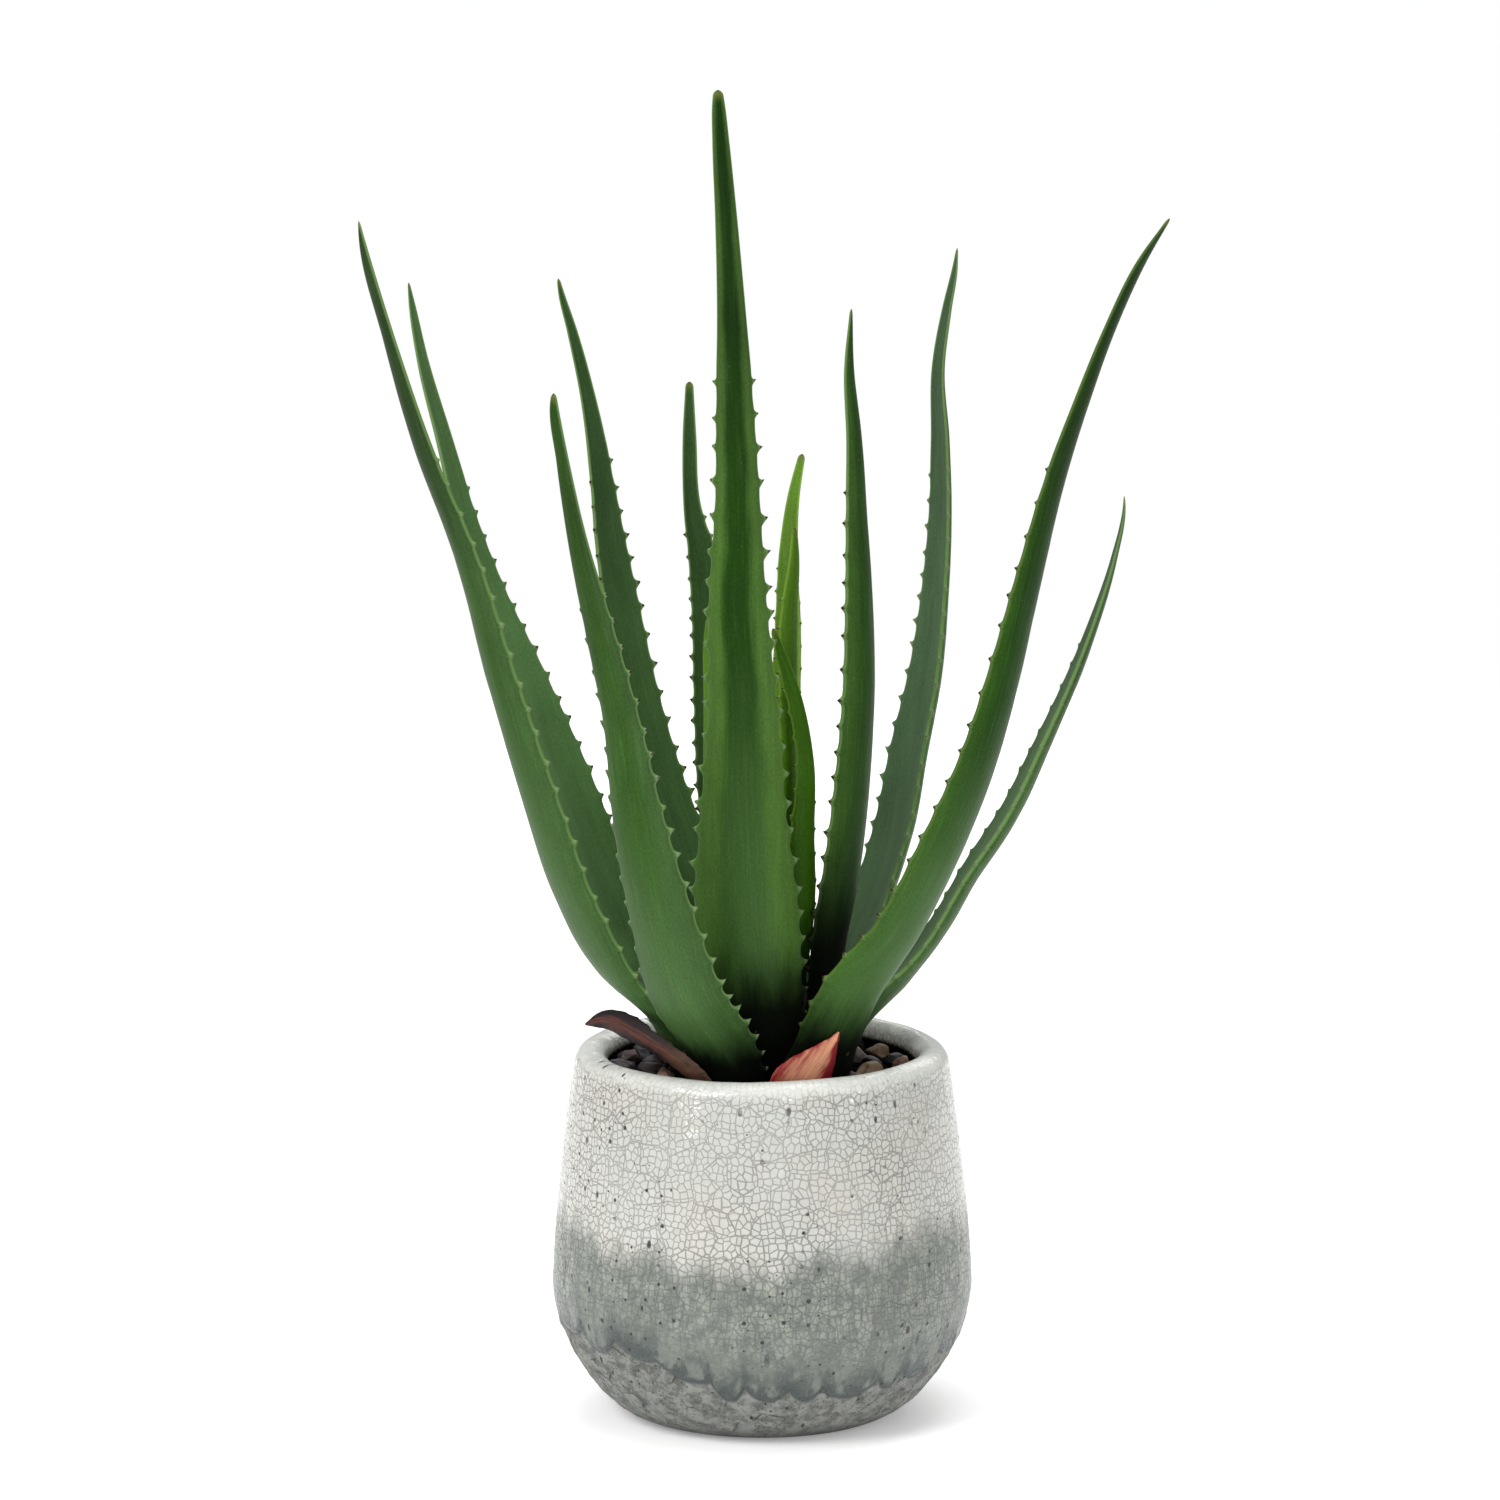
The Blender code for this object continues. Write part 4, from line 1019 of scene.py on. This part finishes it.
def soilMaterial():
    material, tree, shader = newMaterial("pottingSoil")
    spot = place(tree)
    made = useGroup(tree, mottle, Vector=spot, Colour=soilTints["earth"], Amount=0.9,
                    **{"Patch Scale": 420.0})
    bits = useGroup(tree, spots, Vector=spot, Scale=420.0, Share=0.12, Radius=0.3)["Mask"]
    colour = blendColour(tree, times(tree, bits, 0.6), made["Colour"], soilTints["bit"])
    height = useGroup(tree, grain, Vector=spot, Coarse=350.0, Fine=1400.0)["Height"]
    dress(tree, shader, colour, plus(tree, 0.78, made["Value"], 0.2), 0.2, height, 0.0012)
    return material


def makeSoil(material):
    # A plug that fills the pot, with a loose top and a socket for the stem.
    sides = soilSizes["sides"]
    level = soilLevel / mm
    angle = np.linspace(0, 2 * np.pi, sides, endpoint=False)
    low = [(6.0, level - soilSizes["socketFloor"]), (soilSizes["socket"], level - soilSizes["socketFloor"])]
    edge = float(insideRadius(level)) - soilSizes["gap"]
    across = np.linspace(soilSizes["socket"], edge, 46)
    top = [(float(r), level) for r in across]
    side = [(float(insideRadius(z)) - soilSizes["gap"], z)
            for z in np.linspace(level - 4, soilSizes["bottom"] + 0.3, 12)]
    under = [(30.0, soilSizes["bottom"]), (5.0, soilSizes["bottom"])]
    rows = np.array(low + top + side + under)
    radius = np.repeat(rows[:, :1], sides, 1)
    height = np.repeat(rows[:, 1:], sides, 1)
    surface = np.stack([radius * np.cos(angle), radius * np.sin(angle), height], -1)
    picked = slice(len(low) + 1, len(low) + len(top) - 1)
    loose = lumps(surface[picked].reshape(-1, 3), 5.0, 8, 4).reshape(len(top) - 2, sides)
    surface[picked, :, 2] += soilSizes["looseness"] * loose - 0.2
    return addPiece("soilBed", ringMesh("soilBed", surface * mm), material, "soil", "soil")


stoneShape = {"reach": (0.46, 0.84), "cut": 0.93, "lumpSize": 0.55, "lumps": 0.055}


def stoneMesh(half, seed, subdivisions, cuts):
    # An egg worn into soft facets.
    dice = random.Random(seed)
    build = bmesh.new()
    bmesh.ops.create_icosphere(build, subdivisions=subdivisions, radius=1.0)
    points = np.array([v.co[:] for v in build.verts])
    for _ in range(cuts):
        way = np.array([dice.gauss(0, 1) for _ in range(3)])
        way /= np.linalg.norm(way)
        reach = dice.uniform(*stoneShape["reach"])
        over = points @ way - reach
        points -= np.where(over > 0, over * stoneShape["cut"], 0)[:, None] * way
    points *= (1 + stoneShape["lumps"] * lumps(points, stoneShape["lumpSize"], seed, 3))[:, None]
    size = np.abs(points).max(0)
    points = points / size * np.array(half)
    turn = dice.uniform(0, math.pi)
    spin = np.array([[math.cos(turn), -math.sin(turn), 0], [math.sin(turn), math.cos(turn), 0], [0, 0, 1]])
    points = points @ spin.T
    faces = [[v.index for v in f.verts] for f in build.faces]
    build.free()
    return points, faces


def makeCrumbs(material):
    # Loose crumbs and grit on the soil between the pebbles.
    dice = random.Random(soilSizes["seed"])
    allPoints, allFaces = [], []
    edge = float(insideRadius(soilLevel / mm)) - 3.5
    for number in range(soilSizes["crumbs"]):
        far = math.sqrt(dice.uniform(34.0 ** 2, edge ** 2))
        turn = dice.uniform(0, 2 * math.pi)
        size = dice.uniform(*soilSizes["crumbSizes"]) * dice.uniform(0.7, 1.2)
        points, faces = stoneMesh((size * dice.uniform(0.8, 1.5), size, size * 0.75), number, 1, 3)
        above = soilLevel / mm + size * dice.uniform(0.1, 1.3)
        centre = np.array([far * math.cos(turn), far * math.sin(turn), above])
        start = sum(len(p) for p in allPoints)
        allPoints.append(points + centre)
        allFaces += [[start + i for i in face] for face in faces]
    mesh = bpy.data.meshes.new("soilCrumbs")
    mesh.from_pydata((np.concatenate(allPoints) * mm).tolist(), [], allFaces)
    mesh.shade_smooth()
    return addPiece("soilCrumbs", mesh, material, "soil")


soilFinish = soilMaterial()
makeSoil(soilFinish)
makeCrumbs(soilFinish)
print("soil ready")


# Pebbles

stoneKinds = {
    "brown": ((0.070, 0.030, 0.018), (0.24, 0.15, 0.10)),
    "cream": ((0.105, 0.045, 0.026), (0.42, 0.30, 0.22)),
    "tan": ((0.170, 0.105, 0.060), (0.32, 0.23, 0.15)),
    "slate": ((0.013, 0.014, 0.014), (0.062, 0.068, 0.065)),
    "black": ((0.008, 0.006, 0.008), (0.06, 0.045, 0.050)),
    "stone": ((0.130, 0.105, 0.085), (0.27, 0.24, 0.21)),
    "plum": ((0.014, 0.006, 0.007), (0.075, 0.040, 0.037)),
}
grainTint = (0.40, 0.36, 0.31)
# The kinds that the pebbles take in turn, and the ones with a kind of their own.
pebbleKinds = ["brown", "slate", "tan", "plum", "brown", "black", "stone", "brown", "tan", "slate", "plum",
               "brown", "stone", "black", "brown", "tan", "plum"]
placedKinds = {
    "pebble_12": "black", "pebble_13": "black", "pebble_14": "plum", "pebble_15": "cream",
    "pebble_16": "slate", "pebble_20": "black", "pebble_21": "tan", "pebble_22": "brown",
    "pebble_32": "plum", "pebble_33": "brown", "pebble_34": "stone", "pebble_35": "tan",
}


def stoneMaterial(kind):
    material, tree, shader = newMaterial(kind + "Stone")
    dark, light = stoneKinds[kind]
    spot = place(tree)
    bands = cloud(tree, stretch(tree, spot, (60.0, 90.0, 190.0)), 1.0, 4.0, 0.6, 0.6)
    colour = blendColour(tree, fade(tree, bands, 0.44, 0.66), dark, light)
    made = useGroup(tree, mottle, Vector=spot, Colour=colour, Amount=0.35, **{"Patch Scale": 300.0})
    grains = useGroup(tree, spots, Vector=spot, Scale=900.0, Share=0.18, Radius=0.3)["Mask"]
    speckled = blendColour(tree, times(tree, grains, 0.35), made["Colour"], grainTint)
    height = useGroup(tree, grain, Vector=spot, Coarse=260.0, Fine=1500.0)["Height"]
    dress(tree, shader, speckled, plus(tree, 0.48, bands, 0.2), 0.35, height, 0.0006, 0.7)
    return material


def makePebbles():
    finishes = {kind: stoneMaterial(kind) for kind in stoneKinds}
    nodes = sorted(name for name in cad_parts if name.startswith("pebble_"))
    for number, node in enumerate(nodes):
        low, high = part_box(node)
        centre, half = (low + high) / 2, (high - low) / 2
        level = (half.x + half.y) / 2
        dice = random.Random(100 + number)
        long = dice.uniform(1.02, 1.22)
        sizes = (level * long, level * dice.uniform(0.86, 1.0), half.z * dice.uniform(0.95, 1.1))
        points, faces = stoneMesh(sizes, 100 + number, 4, 11)
        mesh = bpy.data.meshes.new(node)
        mesh.from_pydata((points + np.array(centre)).tolist(), [], faces)
        mesh.shade_smooth()
        kind = placedKinds.get(node, pebbleKinds[number % len(pebbleKinds)])
        addPiece(f"pebbleStone{number + 1:02d}", mesh, finishes[kind], "pebble", node)
    return len(nodes)


print("pebbles ready:", makePebbles())


# Floor, light and camera

studio = {
    "pitch": 10.2, "distance": 2.8, "lens": 181.1, "target": (-0.00445, 0.0, 0.251),
    "floorSize": 3.2, "floorColour": (0.94, 0.94, 0.94), "floorGlow": 0.22, "worldStrength": 0.50,
    "lit": (0.0, 0.0, 0.2),      # where every light points
}
# Where each light stands, its width and height in metres and its power in watts.
lights = {
    "keyLight": ((-1.5, -1.6, 1.9), (1.2, 1.2), 50.0),
    "fillLight": ((1.9, -1.3, 1.1), (1.4, 1.6), 8.0),
    "topLight": ((0.1, 0.2, 2.2), (1.6, 1.6), 24.0),
    "backLight": ((0.6, 2.0, 1.5), (1.8, 1.2), 14.0),
}
# Small lights for the glints on the glaze, by bearing from the front.
glints = {"bearings": (-42, 13, 60), "away": 2.3, "height": 0.42, "size": 0.07, "power": 2.6}


def makeFloor():
    mesh = bpy.data.meshes.new("floor")
    build = bmesh.new()
    bmesh.ops.create_grid(build, x_segments=2, y_segments=2, size=studio["floorSize"] / 2)
    build.to_mesh(mesh)
    build.free()
    floor = bpy.data.objects.new("floor", mesh)
    floor.location.z = -0.0002
    bpy.context.scene.collection.objects.link(floor)
    material, tree, shader = newMaterial("paleFloor")
    feed(tree, studio["floorColour"], shader.inputs["Base Color"])
    shader.inputs["Roughness"].default_value = 0.9
    shader.inputs["Specular IOR Level"].default_value = 0.1
    shader.inputs["Emission Color"].default_value = (1, 1, 1, 1)
    shader.inputs["Emission Strength"].default_value = studio["floorGlow"]
    mesh.materials.append(material)


def makeLight(name, place, size, power):
    data = bpy.data.lights.new(name, "AREA")
    data.shape = "RECTANGLE"
    data.size, data.size_y = size
    data.energy = power
    light = bpy.data.objects.new(name, data)
    light.location = place
    light.rotation_euler = (Vector(studio["lit"]) - Vector(place)).to_track_quat("-Z", "Y").to_euler()
    bpy.context.scene.collection.objects.link(light)


def makeStudio():
    scene = bpy.context.scene
    world = bpy.data.worlds.new("studio")
    scene.world = world
    world.use_nodes = True
    tree = world.node_tree
    tree.nodes.clear()
    around = addNode(tree, "ShaderNodeBackground", {"Color": (1, 1, 1), "Strength": studio["worldStrength"]})
    seen = addNode(tree, "ShaderNodeBackground", {"Color": (1, 1, 1), "Strength": 1.0})
    path = addNode(tree, "ShaderNodeLightPath").outputs["Is Camera Ray"]
    both = addNode(tree, "ShaderNodeMixShader", {0: path, 1: around.outputs[0], 2: seen.outputs[0]})
    tree.links.new(both.outputs[0], addNode(tree, "ShaderNodeOutputWorld").inputs[0])
    for name, (place, size, power) in lights.items():
        makeLight(name, place, size, power)
    for bearing in glints["bearings"]:
        turn = math.radians(bearing)
        place = (glints["away"] * math.sin(turn), -glints["away"] * math.cos(turn), glints["height"])
        makeLight(f"glintLight{bearing}", place, (glints["size"], glints["size"]), glints["power"])
    data = bpy.data.cameras.new("camera")
    data.lens = studio["lens"]
    data.sensor_width = 36.0
    data.clip_end = 40.0
    camera = bpy.data.objects.new("camera", data)
    pitch = math.radians(studio["pitch"])
    target = Vector(studio["target"])
    camera.location = target + studio["distance"] * Vector((0.0, -math.cos(pitch), math.sin(pitch)))
    camera.rotation_euler = (math.pi / 2 - pitch, 0.0, 0.0)
    scene.collection.objects.link(camera)
    scene.camera = camera
    scene.view_settings.view_transform = "Standard"
    scene.view_settings.look = "None"


makeFloor()
makeStudio()
print("studio ready")
